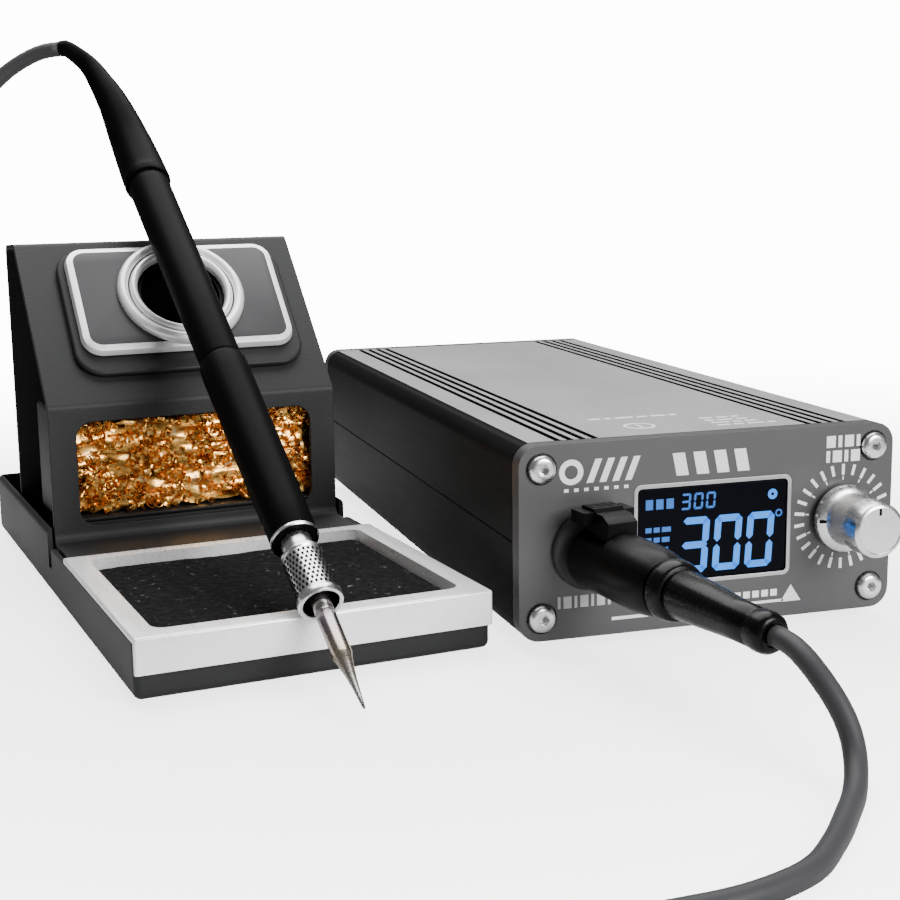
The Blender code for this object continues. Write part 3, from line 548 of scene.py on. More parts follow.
def prism(outline, low, high, plane="XY"):
    """An outline pushed from low to high along the axis that its plane leaves free."""
    place = {
        "XY": lambda u, v, w: (u, v, w),
        "XZ": lambda u, v, w: (u, w, v),
        "YZ": lambda u, v, w: (w, u, v),
    }[plane]
    bm = bmesh.new()
    bottom = [bm.verts.new(place(u, v, low)) for u, v in outline]
    top = [bm.verts.new(place(u, v, high)) for u, v in outline]
    bm.faces.new(bottom)
    bm.faces.new(reversed(top))
    for i in range(len(outline)):
        j = (i + 1) % len(outline)
        bm.faces.new((bottom[i], top[i], top[j], bottom[j]))
    bmesh.ops.recalc_face_normals(bm, faces=bm.faces[:])
    return bm


def rounded(x0, x1, y0, y1, radius, steps=8):
    """The outline of a rectangle with round corners, anticlockwise."""
    outline = []
    corners = ((x1 - radius, y0 + radius, -90), (x1 - radius, y1 - radius, 0),
               (x0 + radius, y1 - radius, 90), (x0 + radius, y0 + radius, 180))
    for cx, cy, start in corners:
        for step in range(steps + 1):
            angle = math.radians(start + 90 * step / steps)
            outline.append((cx + radius * math.cos(angle), cy + radius * math.sin(angle)))
    return outline


def circle(radius, count, cx=0.0, cy=0.0, turn=0.0):
    """The outline of a circle, anticlockwise."""
    angles = (turn + 2 * math.pi * i / count for i in range(count))
    return [(cx + radius * math.cos(a), cy + radius * math.sin(a)) for a in angles]


def arc(cx, cy, radius, start, end, steps=4):
    """Points on an arc between two angles in degrees."""
    angles = (math.radians(start + (end - start) * i / steps) for i in range(steps + 1))
    return [(cx + radius * math.cos(a), cy + radius * math.sin(a)) for a in angles]


def turned(profile, count=64):
    """A closed profile of (radius, height) points turned round Z."""
    bm = bmesh.new()
    rings = []
    for radius, height in profile:
        if radius == 0:
            rings.append([bm.verts.new((0, 0, height))])
        else:
            rings.append([bm.verts.new((x, y, height)) for x, y in circle(radius, count)])
    for first, second in zip(rings, rings[1:] + rings[:1]):
        if len(first) == 1 and len(second) == 1:
            continue
        for i in range(count):
            j = (i + 1) % count
            corners = [first[i % len(first)], first[j % len(first)],
                       second[j % len(second)], second[i % len(second)]]
            bm.faces.new(dict.fromkeys(corners))
    return bm


def rod(radius, low, high, count=64):
    """A solid cylinder along Z."""
    return turned(((0, low), (radius, low), (radius, high), (0, high)), count)


def filleted(line, radius, steps=5):
    """A line of 2D points with its inner corners rounded."""
    points = [Vector(p) for p in line]
    result = [points[0]]
    for before, corner, after in zip(points, points[1:], points[2:]):
        a, b = (before - corner).normalized(), (after - corner).normalized()
        angle = math.acos(max(-1, min(1, a.dot(b))))
        reach = min(radius / math.tan(angle / 2), 0.45 * (before - corner).length,
                    0.45 * (after - corner).length)
        start, end = corner + a * reach, corner + b * reach
        for i in range(steps + 1):
            t = i / steps
            result.append(start * (1 - t) ** 2 + corner * 2 * t * (1 - t) + end * t * t)
    result.append(points[-1])
    return result


def strip(line, thick, low, high):
    """Folded sheet: a line of (y, z) points thickened to its right and pushed along X."""
    inner = []
    for i, point in enumerate(line):
        sides = []
        if i:
            sides.append((point - line[i - 1]).normalized())
        if i + 1 < len(line):
            sides.append((line[i + 1] - point).normalized())
        normals = [Vector((d.y, -d.x)) for d in sides]
        mid = sum(normals, Vector((0, 0))).normalized()
        inner.append(point + mid * thick / mid.dot(normals[0]))
    outline = [tuple(p) for p in line] + [tuple(p) for p in reversed(inner)]
    return prism(outline, low, high, "YZ")


def smooth_line(points, step):
    """Points about a step apart on a smooth curve through the given ones."""
    knots = [Vector(p) for p in points]
    ends = [knots[0] * 2 - knots[1]] + knots + [knots[-1] * 2 - knots[-2]]
    line = []
    for a, b, c, d in zip(ends, ends[1:], ends[2:], ends[3:]):
        count = max(1, round((c - b).length / step))
        for i in range(count):
            t = i / count
            line.append(0.5 * (2 * b + (c - a) * t + (2 * a - 5 * b + 4 * c - d) * t * t
                               + (3 * b - a - 3 * c + d) * t * t * t))
    return line + [knots[-1]]


def tube(line, radii, sides=16):
    """A bent rod along a line, with a radius at each point, closed at both ends."""
    bm = bmesh.new()
    side = None
    rings = []
    for i, (point, radius) in enumerate(zip(line, radii)):
        ahead = (line[min(i + 1, len(line) - 1)] - line[max(i - 1, 0)]).normalized()
        if side is None:
            side = ahead.orthogonal()
        side = (side - ahead * side.dot(ahead)).normalized()
        up = ahead.cross(side)
        rings.append([bm.verts.new(point + side * x + up * y) for x, y in circle(radius, sides)])
    for first, second in zip(rings, rings[1:]):
        for i in range(sides):
            j = (i + 1) % sides
            bm.faces.new((first[i], first[j], second[j], second[i]))
    bm.faces.new(reversed(rings[0]))
    bm.faces.new(rings[-1])
    return bm


def join(*parts):
    """Put several bmeshes in one."""
    whole = parts[0]
    for part in parts[1:]:
        spare = bpy.data.meshes.new("spare")
        part.to_mesh(spare)
        part.free()
        whole.from_mesh(spare)
        bpy.data.meshes.remove(spare)
    return whole


def as_object(name, bm):
    """A bmesh as an object in the scene."""
    bmesh.ops.recalc_face_normals(bm, faces=bm.faces[:])
    mesh = bpy.data.meshes.new(name)
    bm.to_mesh(mesh)
    bm.free()
    obj = bpy.data.objects.new(name, mesh)
    bpy.context.scene.collection.objects.link(obj)
    return obj


def evaluated(obj):
    """The mesh that an object's modifiers make."""
    graph = bpy.context.evaluated_depsgraph_get()
    return bpy.data.meshes.new_from_object(obj.evaluated_get(graph), depsgraph=graph)


def carved(bm, *cutters, operation="DIFFERENCE"):
    """Take shapes out of a bmesh, or join them on."""
    target = as_object("carved", bm)
    tools = [as_object("tool", cutter) for cutter in cutters]
    for tool in tools:
        modifier = target.modifiers.new("cut", "BOOLEAN")
        modifier.object = tool
        modifier.operation = operation
        modifier.solver = "EXACT"
    mesh = evaluated(target)
    result = bmesh.new()
    result.from_mesh(mesh)
    for obj in (target, *tools):
        bpy.data.objects.remove(obj, do_unlink=True)
    bpy.data.meshes.remove(mesh)
    return result


def moved(bm, matrix):
    """A bmesh moved by a matrix."""
    bmesh.ops.transform(bm, matrix=matrix, verts=bm.verts[:])
    return bm


def piece(name, bm, place, look, body, stands_for=(), edge=0.0, smooth=35, segments=2):
    """A bmesh drawn in millimetres becomes a finished piece that rides on a body."""
    obj = as_object(name, moved(bm, Matrix.Scale(MM, 4) @ place))
    return dress(obj, look, body, stands_for, edge, smooth, segments)


def dress(obj, look, body, stands_for=(), edge=0.0, smooth=35, segments=2):
    """Give a piece its material, its body, its soft edges and the nodes it stands for."""
    looks = (look,) if isinstance(look, str) else look
    chosen = [face.material_index for face in obj.data.polygons]
    obj.data.materials.clear()
    for item in looks:
        obj.data.materials.append(LOOKS[item])
    if len(looks) > 1:
        obj.data.polygons.foreach_set("material_index", chosen)
    obj.data.shade_smooth()
    obj.data.set_sharp_from_angle(angle=math.radians(smooth))
    if edge:
        bevel = obj.modifiers.new("edges", "BEVEL")
        bevel.width = edge * MM
        bevel.segments = segments
        bevel.limit_method = "ANGLE"
        bevel.angle_limit = math.radians(35)
        bevel.harden_normals = True
    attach(obj, body)
    if stands_for:
        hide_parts(*stands_for)
    return obj


# ------------------------------------------------------------ geometry nodes


class Tree:
    """A geometry node tree with named inputs that ends in Realize Instances and Set Material."""

    def __init__(self, name, **inputs):
        self.tree = bpy.data.node_groups.new(name, "GeometryNodeTree")
        kinds = {int: "NodeSocketInt", float: "NodeSocketFloat", bpy.types.Material: "NodeSocketMaterial",
                 bpy.types.Object: "NodeSocketObject"}
        self.tree.interface.new_socket("Geometry", in_out="INPUT", socket_type="NodeSocketGeometry")
        for key, value in inputs.items():
            kind = next(k for k in kinds if isinstance(value, k))
            self.tree.interface.new_socket(key, in_out="INPUT", socket_type=kinds[kind])
        self.tree.interface.new_socket("Geometry", in_out="OUTPUT", socket_type="NodeSocketGeometry")
        self.values = inputs
        self.inputs = self.tree.nodes.new("NodeGroupInput").outputs

    def node(self, kind, settings=None, links=None, output=0):
        """Add a node with its settings, and values or links for its sockets."""
        made = self.tree.nodes.new(kind)
        for key, value in (settings or {}).items():
            setattr(made, key, value)
        for key, value in (links or {}).items():
            if isinstance(value, bpy.types.NodeSocket):
                self.tree.links.new(value, made.inputs[key])
            else:
                made.inputs[key].default_value = value
        return made.outputs[output]

    def make(self, name, geometry, base=None):
        """Run the tree on a base object and give the plain mesh object that it makes."""
        real = self.node("GeometryNodeRealizeInstances", None, {"Geometry": geometry})
        finish = {"Geometry": real, "Material": self.inputs["Material"]}
        done = self.node("GeometryNodeSetMaterial", None, finish)
        end = self.tree.nodes.new("NodeGroupOutput")
        self.tree.links.new(done, end.inputs[0])
        host = base or bpy.data.objects.new(name, bpy.data.meshes.new(name))
        if not base:
            bpy.context.scene.collection.objects.link(host)
        modifier = host.modifiers.new("nodes", "NODES")
        modifier.node_group = self.tree
        for item in self.tree.interface.items_tree:
            if item.in_out == "INPUT" and item.name in self.values:
                modifier[item.identifier] = self.values[item.name]
        mesh = evaluated(host)
        host.modifiers.remove(modifier)
        host.data = mesh
        host.name = name
        return host


def point_cloud(name, points):
    """An object of loose points, in millimetres."""
    mesh = bpy.data.meshes.new(name)
    mesh.from_pydata([tuple(p) for p in points], [], [])
    obj = bpy.data.objects.new(name, mesh)
    bpy.context.scene.collection.objects.link(obj)
    return obj


def copies(name, shape, points, look, spin=False):
    """Copies of one small shape on points, made by a node tree, its X away from Z where it spins."""
    sample = as_object(name + "_sample", shape)
    tree = Tree(name + "_tree", Material=LOOKS[look], Shape=sample, Size=1.0)
    info = tree.node("GeometryNodeObjectInfo", None, {"Object": tree.inputs["Shape"]}, "Geometry")
    settings = {"Points": tree.inputs["Geometry"], "Instance": info, "Scale": tree.inputs["Size"]}
    if spin:
        out = tree.node("ShaderNodeVectorMath", {"operation": "MULTIPLY"}, {
            0: tree.node("GeometryNodeInputPosition"), 1: (1, 1, 0)})
        settings["Rotation"] = tree.node("FunctionNodeAlignRotationToVector", {"axis": "X"}, {"Vector": out})
    placed = tree.node("GeometryNodeInstanceOnPoints", None, settings)
    made = tree.make(name, placed, point_cloud(name, points))
    bpy.data.objects.remove(sample, do_unlink=True)
    return made


def settle(obj, place):
    """Put a mesh that was drawn in millimetres in its place in metres."""
    obj.data.transform(Matrix.Scale(MM, 4) @ place)
    obj.data.update()
    return obj


# ---------------------------------------------------------------- operators


class StationStep:
    """What every step has in common."""

    bl_options = {"REGISTER", "UNDO"}
    steps = []

    def __init_subclass__(cls):
        StationStep.steps.append(cls)


# Camera: where it is in the power unit's frame, and how it is turned.
CAMERA_AT = (-104.2, -294.9, 101.6)
CAMERA_HEADING = math.radians(16.89)
CAMERA_DROP = math.radians(10.43)
CAMERA_ROLL = -0.013

# Strength of the white surroundings: what they light the station with, and what the camera sees.
SURROUND_LIGHT = 0.15
SURROUND_SEEN = 14.0


class STATION_OT_stage(StationStep, bpy.types.Operator):
    """Make the finishes, the camera, the floor and the lights"""

    bl_idname = "station.stage"
    bl_label = "Stage"

    def execute(self, context):
        looks = context.scene.stage_looks
        make_looks(context.scene)
        self.add_camera(context, looks)
        bm = bmesh.new()
        bmesh.ops.create_grid(bm, x_segments=1, y_segments=1, size=1.2)
        floor = as_object("floor", bm)
        floor.data.materials.append(pale_floor())
        self.add_light("key", (0.05, 0.32, 0.9), (0, 0, 0.03), 1.0, looks.key_power)
        self.add_light("front", (0.4, -0.85, 0.45), (0.02, 0, 0.03), 0.5, looks.front_power)
        world = bpy.data.worlds.new("studio")
        context.scene.world = world
        world.use_nodes = True
        nodes, links = world.node_tree.nodes, world.node_tree.links
        background = nodes["Background"]
        background.inputs["Color"].default_value = (1, 1, 1, 1)
        path = nodes.new("ShaderNodeLightPath")
        level = nodes.new("ShaderNodeMapRange")
        level.inputs["To Min"].default_value = SURROUND_LIGHT
        level.inputs["To Max"].default_value = SURROUND_SEEN
        links.new(path.outputs["Is Camera Ray"], level.inputs["Value"])
        links.new(level.outputs["Result"], background.inputs["Strength"])
        return {"FINISHED"}

    def add_camera(self, context, looks):
        """A camera to the left of the panel, a little above the case."""
        camera = bpy.data.objects.new("camera", bpy.data.cameras.new("camera"))
        context.scene.collection.objects.link(camera)
        camera.data.lens = looks.lens
        camera.data.clip_start = 0.01
        place = Matrix.Translation(UNIT @ Vector(CAMERA_AT) * MM)
        heading = Matrix.Rotation(-CAMERA_HEADING, 4, "Z")
        tilt = Matrix.Rotation(math.pi / 2 - CAMERA_DROP, 4, "X")
        camera.matrix_world = place @ heading @ tilt @ Matrix.Rotation(CAMERA_ROLL, 4, "Z")
        context.scene.camera = camera

    def add_light(self, name, place, target, size, power):
        """A soft square light that looks at a point."""
        light = bpy.data.lights.new(name, "AREA")
        light.size = size
        light.energy = power
        lamp = bpy.data.objects.new(name, light)
        bpy.context.scene.collection.objects.link(lamp)
        lamp.location = place
        lamp.rotation_euler = (Vector(target) - Vector(place)).to_track_quat("-Z", "Y").to_euler()


# ------------------------------------------------------- plug and lead


class STATION_OT_plug(StationStep, bpy.types.Operator):
    """Build the socket and the plug in it"""

    bl_idname = "station.plug"
    bl_label = "Socket and plug"

    def execute(self, context):
        face = Matrix.Translation((SOCKET.x, 0, SOCKET.z)) @ FORWARD
        flange = turned(((5, 1.3), (5.2, 1.7), (7.9, 1.7), (8.4, 1.4), (8.6, 1), (8.6, 0.3), (6.7, 0.3),
                         (6.7, -13), (0, -13), (0, -9), (5, -9)), 64)
        piece("socket_flange", flange, UNIT @ face, "socket", "station", ("iron_socket",), 0.06)
        self.add_shell()
        self.add_boot()
        return {"FINISHED"}

    def add_shell(self):
        """The shell with a flat for the latch, and the latch with its steps and grip lines."""
        profile = ((0, -3), (4, -3), (4.3, -2.5), (4.3, 3), (6.5, 3), (6.9, 3.2), (7.1, 3.8), (7.1, 22.5),
                   (7, 25), (6.6, 28), (6.2, 29.5), (5.9, 30.2), (5.4, 30.5), (0, 30.5))
        shell_piece = carved(turned(profile, 96), block(-7.1, 7.1, 4.6, 8.1, 1, 14.4))
        piece("plug_body", shell_piece, PLUG, "black", "station", ("plug_shell",), 0.25, segments=3)
        outline = ((6.5, 2.9), (10.6, 2.9), (11.2, 3.6), (11.2, 8), (10.5, 8.8), (10.5, 11.4), (9.2, 13.8),
                   (5.4, 13.8), (5.4, 10.5), (6, 9))
        lever = prism(outline, -3.4, 3.4, "YZ")
        head = block(-6, 6, 8, 10.6, 3.3, 8.4)
        grooves = [block(-8, 8, 10.95, 12, z, z + 0.4) for z in (4.4, 5.5, 6.6)]
        lever = carved(carved(lever, head, operation="UNION"), *grooves)
        piece("latch_lever", lever, PLUG, "black", "latch", ("plug_latch",), 0.3, segments=3)

    def add_boot(self):
        """The collar with its bright edge and the long boot with a bead at its end."""
        collar = turned(((0, 30.8), (5.2, 30.8), (5.8, 31.2), (6.2, 31.9), (6.2, 32.8), (6, 33.6),
                         (5.8, 34.5), (5.5, 35), (5.2, 35.2), (0, 35.2)), 96)
        piece("plug_collar_ring", collar, PLUG, "gloss", "station", ("plug_collar",))
        profile = ((0, 35.5), (4.5, 35.5), (4.8, 35.8), (4.9, 36.4), (4.35, 45), (3.85, 53), (3.75, 58.4),
                   (3.6, 58.6), (3.6, 59.2), (3.85, 59.4), (3.95, 60.6), (3.95, 61.8), (3.8, 62.7),
                   (3.4, 63.4), (2.9, 63.8), (2.3, 63.8), (2.1, 63.2), (0, 63.2))
        piece("plug_boot_sleeve", turned(profile, 96), PLUG, "gloss", "station", ("plug_boot",),
              smooth=40)


LEAD_DIAMETER = 4
LEAD_STEP = 2.2
COIL_CENTRE = (-58, -144)
COIL_RADII = (24, 20)
COIL_LEVELS = (2.1, 6.2)
COIL_TURNS = 3
PLUG_ROUTE = (
    (24.75, -63.6, 20.4), (25.4, -67.9, 20), (25.9, -72.2, 18.6), (26.9, -75.8, 16), (28.2, -78.8, 12.6),
    (28.9, -81.2, 9.2), (28.6, -83.6, 6.1), (26.9, -87, 3.7), (24, -91.3, 2.4), (20, -96.2, 2.1),
    (12.4, -105, 2.1), (4, -112.5, 2.1), (-8, -116.9, 2.1), (-20, -118, 2.1), (-33, -118, 2.1),
    (-44.5, -118.2, 2.1), (-51.5, -119.4, 2.1),
)
IRON_ROUTE = ((-64.4, -119.6, 6), (-71.8, -118.3, 4.6), (-81, -117.2, 2.9), (-93, -113.2, 2.1),
              (-108, -103.6, 2.1), (-119.5, -86, 2.1), (-125.5, -60, 2.1), (-127.5, -25, 2.1),
              (-128, 15, 2.1), (-128.8, 60, 2.1), (-129.6, 92, 2.1), (-129.8, 110, 2.9),
              (-128.6, 125.5, 7.9), (-126.4, 137, 19), (-123.6, 145, 36), (-120.2, 150.4, 56),
              (-116.2, 154, 77), (-111.2, 156.6, 97), (-105, 158, 111.6), (-99.4, 158.5, 120.8),
              (-94.1, 158.5, 126.5), (-90.2, 158, 129.6), (-85.7, 157, 132.2), (-81.9, 155.7, 133.6),
              (-78.2, 154.6, 134.1))
BOOT_BENDS = ((-61.8, 136, 108.5), (-64.9, 144, 118.5), (-68, 149.5, 125.3), (-71, 153, 130.2))
BOOT_RADII = (6.05, 2.15)


def ease(value, low, high):
    """A smooth step from 0 to 1 between two values."""
    t = max(0.0, min(1.0, (value - low) / (high - low)))
    return t * t * (3 - 2 * t)


def coil_line():
    """The turns of the coil: out, in, up on the inner turn, and out again on top."""
    outer, inner = COIL_RADII
    low, high = COIL_LEVELS
    per_turn = 30
    line = []
    for i in range(COIL_TURNS * per_turn + 1):
        turn = i / per_turn
        inward = ease(turn, 0.5, 0.8) - ease(turn, 2.15, 2.4)
        radius = outer + (inner - outer) * inward
        height = low + (high - low) * ease(turn, 1.25, 1.45)
        angle = math.pi / 2 + 2 * math.pi * turn
        line.append(Vector((COIL_CENTRE[0] + radius * math.cos(angle),
                            COIL_CENTRE[1] + radius * math.sin(angle), height)))
    return line


class STATION_OT_lead(StationStep, bpy.types.Operator):
    """Lay the lead from the plug, through its coil, up to the iron"""

    bl_idname = "station.lead"
    bl_label = "Lead"

    def execute(self, context):
        route = smooth_line([*PLUG_ROUTE, *coil_line(), *IRON_ROUTE], LEAD_STEP)
        line = [UNIT @ p for p in route]
        radius = LEAD_DIAMETER / 2
        path = [tuple(p * MM) for p in line]
        length = sum((b - a).length for a, b in zip(line, line[1:])) * MM
        bm = tube(line, [radius] * len(line), 14)
        lead = as_object("lead", moved(bm, Matrix.Scale(MM, 4)))
        lead.data.materials.append(LOOKS["lead"])
        lead.data.shade_smooth()
        nodes = ("cable_plug_side", "cable_coil", "cable_iron_side")
        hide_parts(*nodes)
        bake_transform(lead)
        return {"FINISHED"}


# ------------------------------------------------------------- power unit


GROOVE_INSET = 14.5
GROOVE_STEP = 2.8
GROOVE_WIDTH = 1.5
GROOVE_DEPTH = 0.9
SCREW_INSET = 5


def groove_edges():
    """Left and right edge of every groove in the two bands on top."""
    count = bpy.context.scene.unit_looks.groove_count
    edges = []
    for centre in (GROOVE_INSET, CASE_WIDTH - GROOVE_INSET):
        first = centre - GROOVE_STEP * (count - 1) / 2
        for i in range(count):
            place = first + i * GROOVE_STEP
            edges.append((place - GROOVE_WIDTH / 2, place + GROOVE_WIDTH / 2))
    return edges


def shell(outer, split, grooved):
    """One half of the extruded case, with round long corners, from front to rear."""
    corner = bpy.context.scene.unit_looks.corner
    up = 1 if outer > split else -1
    left = [(0, split)] + arc(corner, outer - up * corner, corner, 180, 180 - up * 90, 8)
    top = []
    if grooved:
        for low, high in groove_edges():
            floor = outer - GROOVE_DEPTH
            top += [(low, outer), (low + 0.12, floor), (high - 0.12, floor), (high, outer)]
    right = [(CASE_WIDTH - x, z) for x, z in reversed(left)]
    wall = 2
    inside = [(CASE_WIDTH - wall, split), (CASE_WIDTH - wall, outer - up * wall),
              (wall, outer - up * wall), (wall, split)]
    start = PANEL_HIGH.y + GAP
    return prism(left + top + right + inside, start, CASE_LENGTH - start, "XZ")


def hex_screw():
    """A button head with a hexagon socket, head on +Z, to be copied to its places."""
    head = turned(((0, -9), (1.3, -9), (1.3, -0.7), (3, -0.7), (3, 0.5), (2.85, 0.95), (2.4, 1.35),
                   (1.9, 1.5), (0, 1.5)), 40)
    return carved(head, prism(circle(1.25, 6), -0.2, 3))


def screw_seat(depth):
    """The round seat and the hole of a screw, through a panel."""
    low = -depth - 1
    return turned(((0, low), (1.6, low), (1.6, -1), (3.4, -1), (3.4, 0.2), (3.9, 1), (0, 1)), 40)


class STATION_OT_case(StationStep, bpy.types.Operator):
    """Build the case's two extruded halves and its feet"""

    bl_idname = "station.case"
    bl_label = "Case"

    def execute(self, context):
        _, top = span("case_top", UNIT)
        low, high = span("case_bottom", UNIT)
        split = (span("case_top", UNIT)[0].z + high.z) / 2
        upper = shell(top.z, split + 0.15, True)
        for face in upper.faces:
            height = face.calc_center_median().z
            # Groove faces get the near-black groove finish, which is painted shade in the grooves; the top
            # faces get the lighter case_top copy, which is painted light; the other faces get the darker case
            # copy, which is painted shade.
            groove = top.z - GROOVE_DEPTH - 0.1 < height < top.z - 0.4 and abs(face.normal.y) < 0.5
            face.material_index = 1 if groove else 2 if height > top.z - 0.1 else 0
        piece("shell_top", upper, UNIT, ("case", "groove", "case_top"), "station", ("case_top",))
        piece("shell_bottom", shell(low.z, split - 0.15, False), UNIT, "case", "station",
              ("case_bottom",), 0.1)
        for number in range(1, 5):
            for kind, radius in (("case_foot", 5.5), ("stand_foot", 5)):
                node = f"{kind}_{number}"
                centre = middle(node)
                height = span(node)[1].z
                pad = turned(((0, 0.3), (radius - 1.4, 0.3), (radius - 1.2, 0), (radius - 0.6, 0),
                              (radius, 0.5), (radius - 0.2, height), (0, height)), 40)
                place = Matrix.Translation((centre.x, centre.y, 0))
                piece(f"rubber_{kind}_{number}", pad, place, "rubber", "station", (node,))
        return {"FINISHED"}


class STATION_OT_panels(StationStep, bpy.types.Operator):
    """Build the end panels with their seats, screws, window opening and bezel"""

    bl_idname = "station.panels"
    bl_label = "Panels"

    def execute(self, context):
        corner = context.scene.unit_looks.corner
        bottom, top = PANEL_LOW.z, PANEL_HIGH.z
        outline = rounded(0, CASE_WIDTH, bottom, top, corner, 8)
        thick = PANEL_HIGH.y
        rows, columns = (top - SCREW_INSET, bottom + SCREW_INSET), (SCREW_INSET, CASE_WIDTH - SCREW_INSET)
        places = [(x, z) for z in rows for x in columns]
        seats = [moved(screw_seat(thick), Matrix.Translation((x, 0, z)) @ FORWARD) for x, z in places]
        x0, x1, z0, z1 = self.window()
        window = prism(rounded(x0 - 0.3, x1 + 0.3, z0 - 0.3, z1 + 0.3, 1.1), -1, thick + 1, "XZ")
        holes = []
        for at, radius in ((SOCKET, 7.0), (KNOB, 3.8)):
            holes.append(moved(rod(radius, -thick - 1, 1, 48), Matrix.Translation((at.x, 0, at.z)) @ FORWARD))
        front = carved(prism(outline, 0, thick, "XZ"), window, *seats, *holes)
        piece("panel_front", front, UNIT, "panel", "station", ("front_panel",), 0.3, segments=3)
        seats = [moved(screw_seat(thick), Matrix.Translation((x, CASE_LENGTH, z)) @ BACKWARD)
                 for x, z in places]
        rear = carved(prism(outline, CASE_LENGTH - thick, CASE_LENGTH, "XZ"), *seats, *self.rear_openings())
        piece("panel_rear", rear, UNIT, "panel", "station", ("rear_panel",), 0.3, segments=3)
        rear_face = Matrix.Translation((0, CASE_LENGTH, 0)) @ BACKWARD
        for side, place, sign in (("front", FORWARD, 1), ("rear", rear_face, -1)):
            points = [(sign * x, z, 0) for x, z in places]
            screws = settle(copies(f"{side}_screws", hex_screw(), points, "silver"), UNIT @ place)
            dress(screws, "silver", "station", [f"{side}_screw_{n}" for n in range(1, 5)], 0.08)
        bezel = carved(prism(rounded(x0 - 1.1, x1 + 1.1, z0 - 1.1, z1 + 1.1, 1.6), -0.12, 0.3, "XZ"),
                       prism(rounded(x0 - 0.2, x1 + 0.2, z0 - 0.2, z1 + 0.2, 1), -1, 1, "XZ"))
        piece("window_bezel", bezel, UNIT, "bezel", "station", edge=0.08)
        return {"FINISHED"}

    def window(self):
        """The window's limits: left, right, bottom, top."""
        low, high = span("display_window", UNIT)
        return low.x, high.x, low.z, high.z

    def rear_openings(self):
        """Cutters for the mains inlet and the switch."""
        openings = []
        for node in ("mains_inlet", "switch_frame"):
            low, high = span(node, UNIT)
            openings.append(block(low.x - 0.3, high.x + 0.3, CASE_LENGTH - 6, CASE_LENGTH + 2,
                                  low.z - 0.3, high.z + 0.3))
        return openings


SEGMENTS = {
    "0": "abcdef", "3": "abcdg",
}


def digit(value, x, z, width, height, stroke):
    """The lit bars of a seven segment digit as outlines, leaning a little."""
    half = stroke / 2
    gap = stroke * 0.16
    lean = 0.06
    bars = {
        "a": (0, height - half, width, True), "g": (0, height / 2, width, True), "d": (0, half, width, True),
        "f": (half, height / 2, height / 2, False), "e": (half, 0, height / 2, False),
        "b": (width - half, height / 2, height / 2, False), "c": (width - half, 0, height / 2, False),
    }
    outlines = []
    for key in SEGMENTS[value]:
        u, v, length, flat = bars[key]
        near, far = gap, length - gap
        if flat:
            shape = ((near, v), (near + half, v - half), (far - half, v - half), (far, v),
                     (far - half, v + half), (near + half, v + half))
        else:
            shape = ((u, v + near), (u + half, v + near + half), (u + half, v + far - half), (u, v + far),
                     (u - half, v + far - half), (u - half, v + near + half))
        outlines.append([(x + a + lean * b, z + b) for a, b in shape])
    return outlines


def flat_shapes(outlines, low, high, plane="XZ"):
    """Thin raised shapes, all in one mesh."""
    return join(*(prism(outline, low, high, plane) for outline in outlines))


def bars(x, z, sizes, gap, height):
    """A row of small bars as outlines."""
    outlines = []
    for size in sizes:
        outlines.append([(x, z), (x + size, z), (x + size, z + height), (x, z + height)])
        x += size + gap
    return outlines


def ring_parts(cx, cz, outer, inner, start=0, end=360, count=28):
    """A flat ring or arc as short outlines."""
    parts = []
    for i in range(count):
        a, b = (math.radians(start + (end - start) * (i + k) / count) for k in (0, 1))
        parts.append([(cx + r * math.cos(t), cz + r * math.sin(t))
                      for r, t in ((inner, a), (outer, a), (outer, b), (inner, b))])
    return parts


class STATION_OT_display(StationStep, bpy.types.Operator):
    """Build the display's dark window and its lit digits"""

    bl_idname = "station.display"
    bl_label = "Display"

    def execute(self, context):
        low, high = span("display_window", UNIT)
        face = low.y
        pane = prism(rounded(low.x, high.x, low.z, high.z, 0.9), face, high.y, "XZ")
        piece("window_pane", pane, UNIT, "glass", "station", ("display_window",), 0.12)
        large, small = [], []
        for i, value in enumerate("300"):
            large += digit(value, low.x + 9.6 + i * 7.75, low.z + 1.2, 6.5, 12.3, 1.55)
            small += digit(value, low.x + 9.9 + i * 2.9, low.z + 15.2, 2.2, 3.6, 0.5)
        small += bars(low.x + 1.7, low.z + 15.8, (1.7, 1.7, 1.7), 0.7, 2.2)
        for i in range(5):
            small += bars(low.x + 1.7, low.z + 2 + i * 2.2, (1.4, 1.4, 0.9 + 0.3 * i), 0.5, 1.1)
        large += ring_parts(high.x - 3.3, high.z - 3.1, 1.15, 0.35)
        small += ring_parts(high.x - 1.7, high.z - 7.4, 0.85, 0.5)
        piece("large_digits", flat_shapes(large, face - 0.05, face + 0.02), UNIT, "lit", "station")
        piece("small_digits", flat_shapes(small, face - 0.05, face + 0.02), UNIT, "dim", "station")
        return {"FINISHED"}


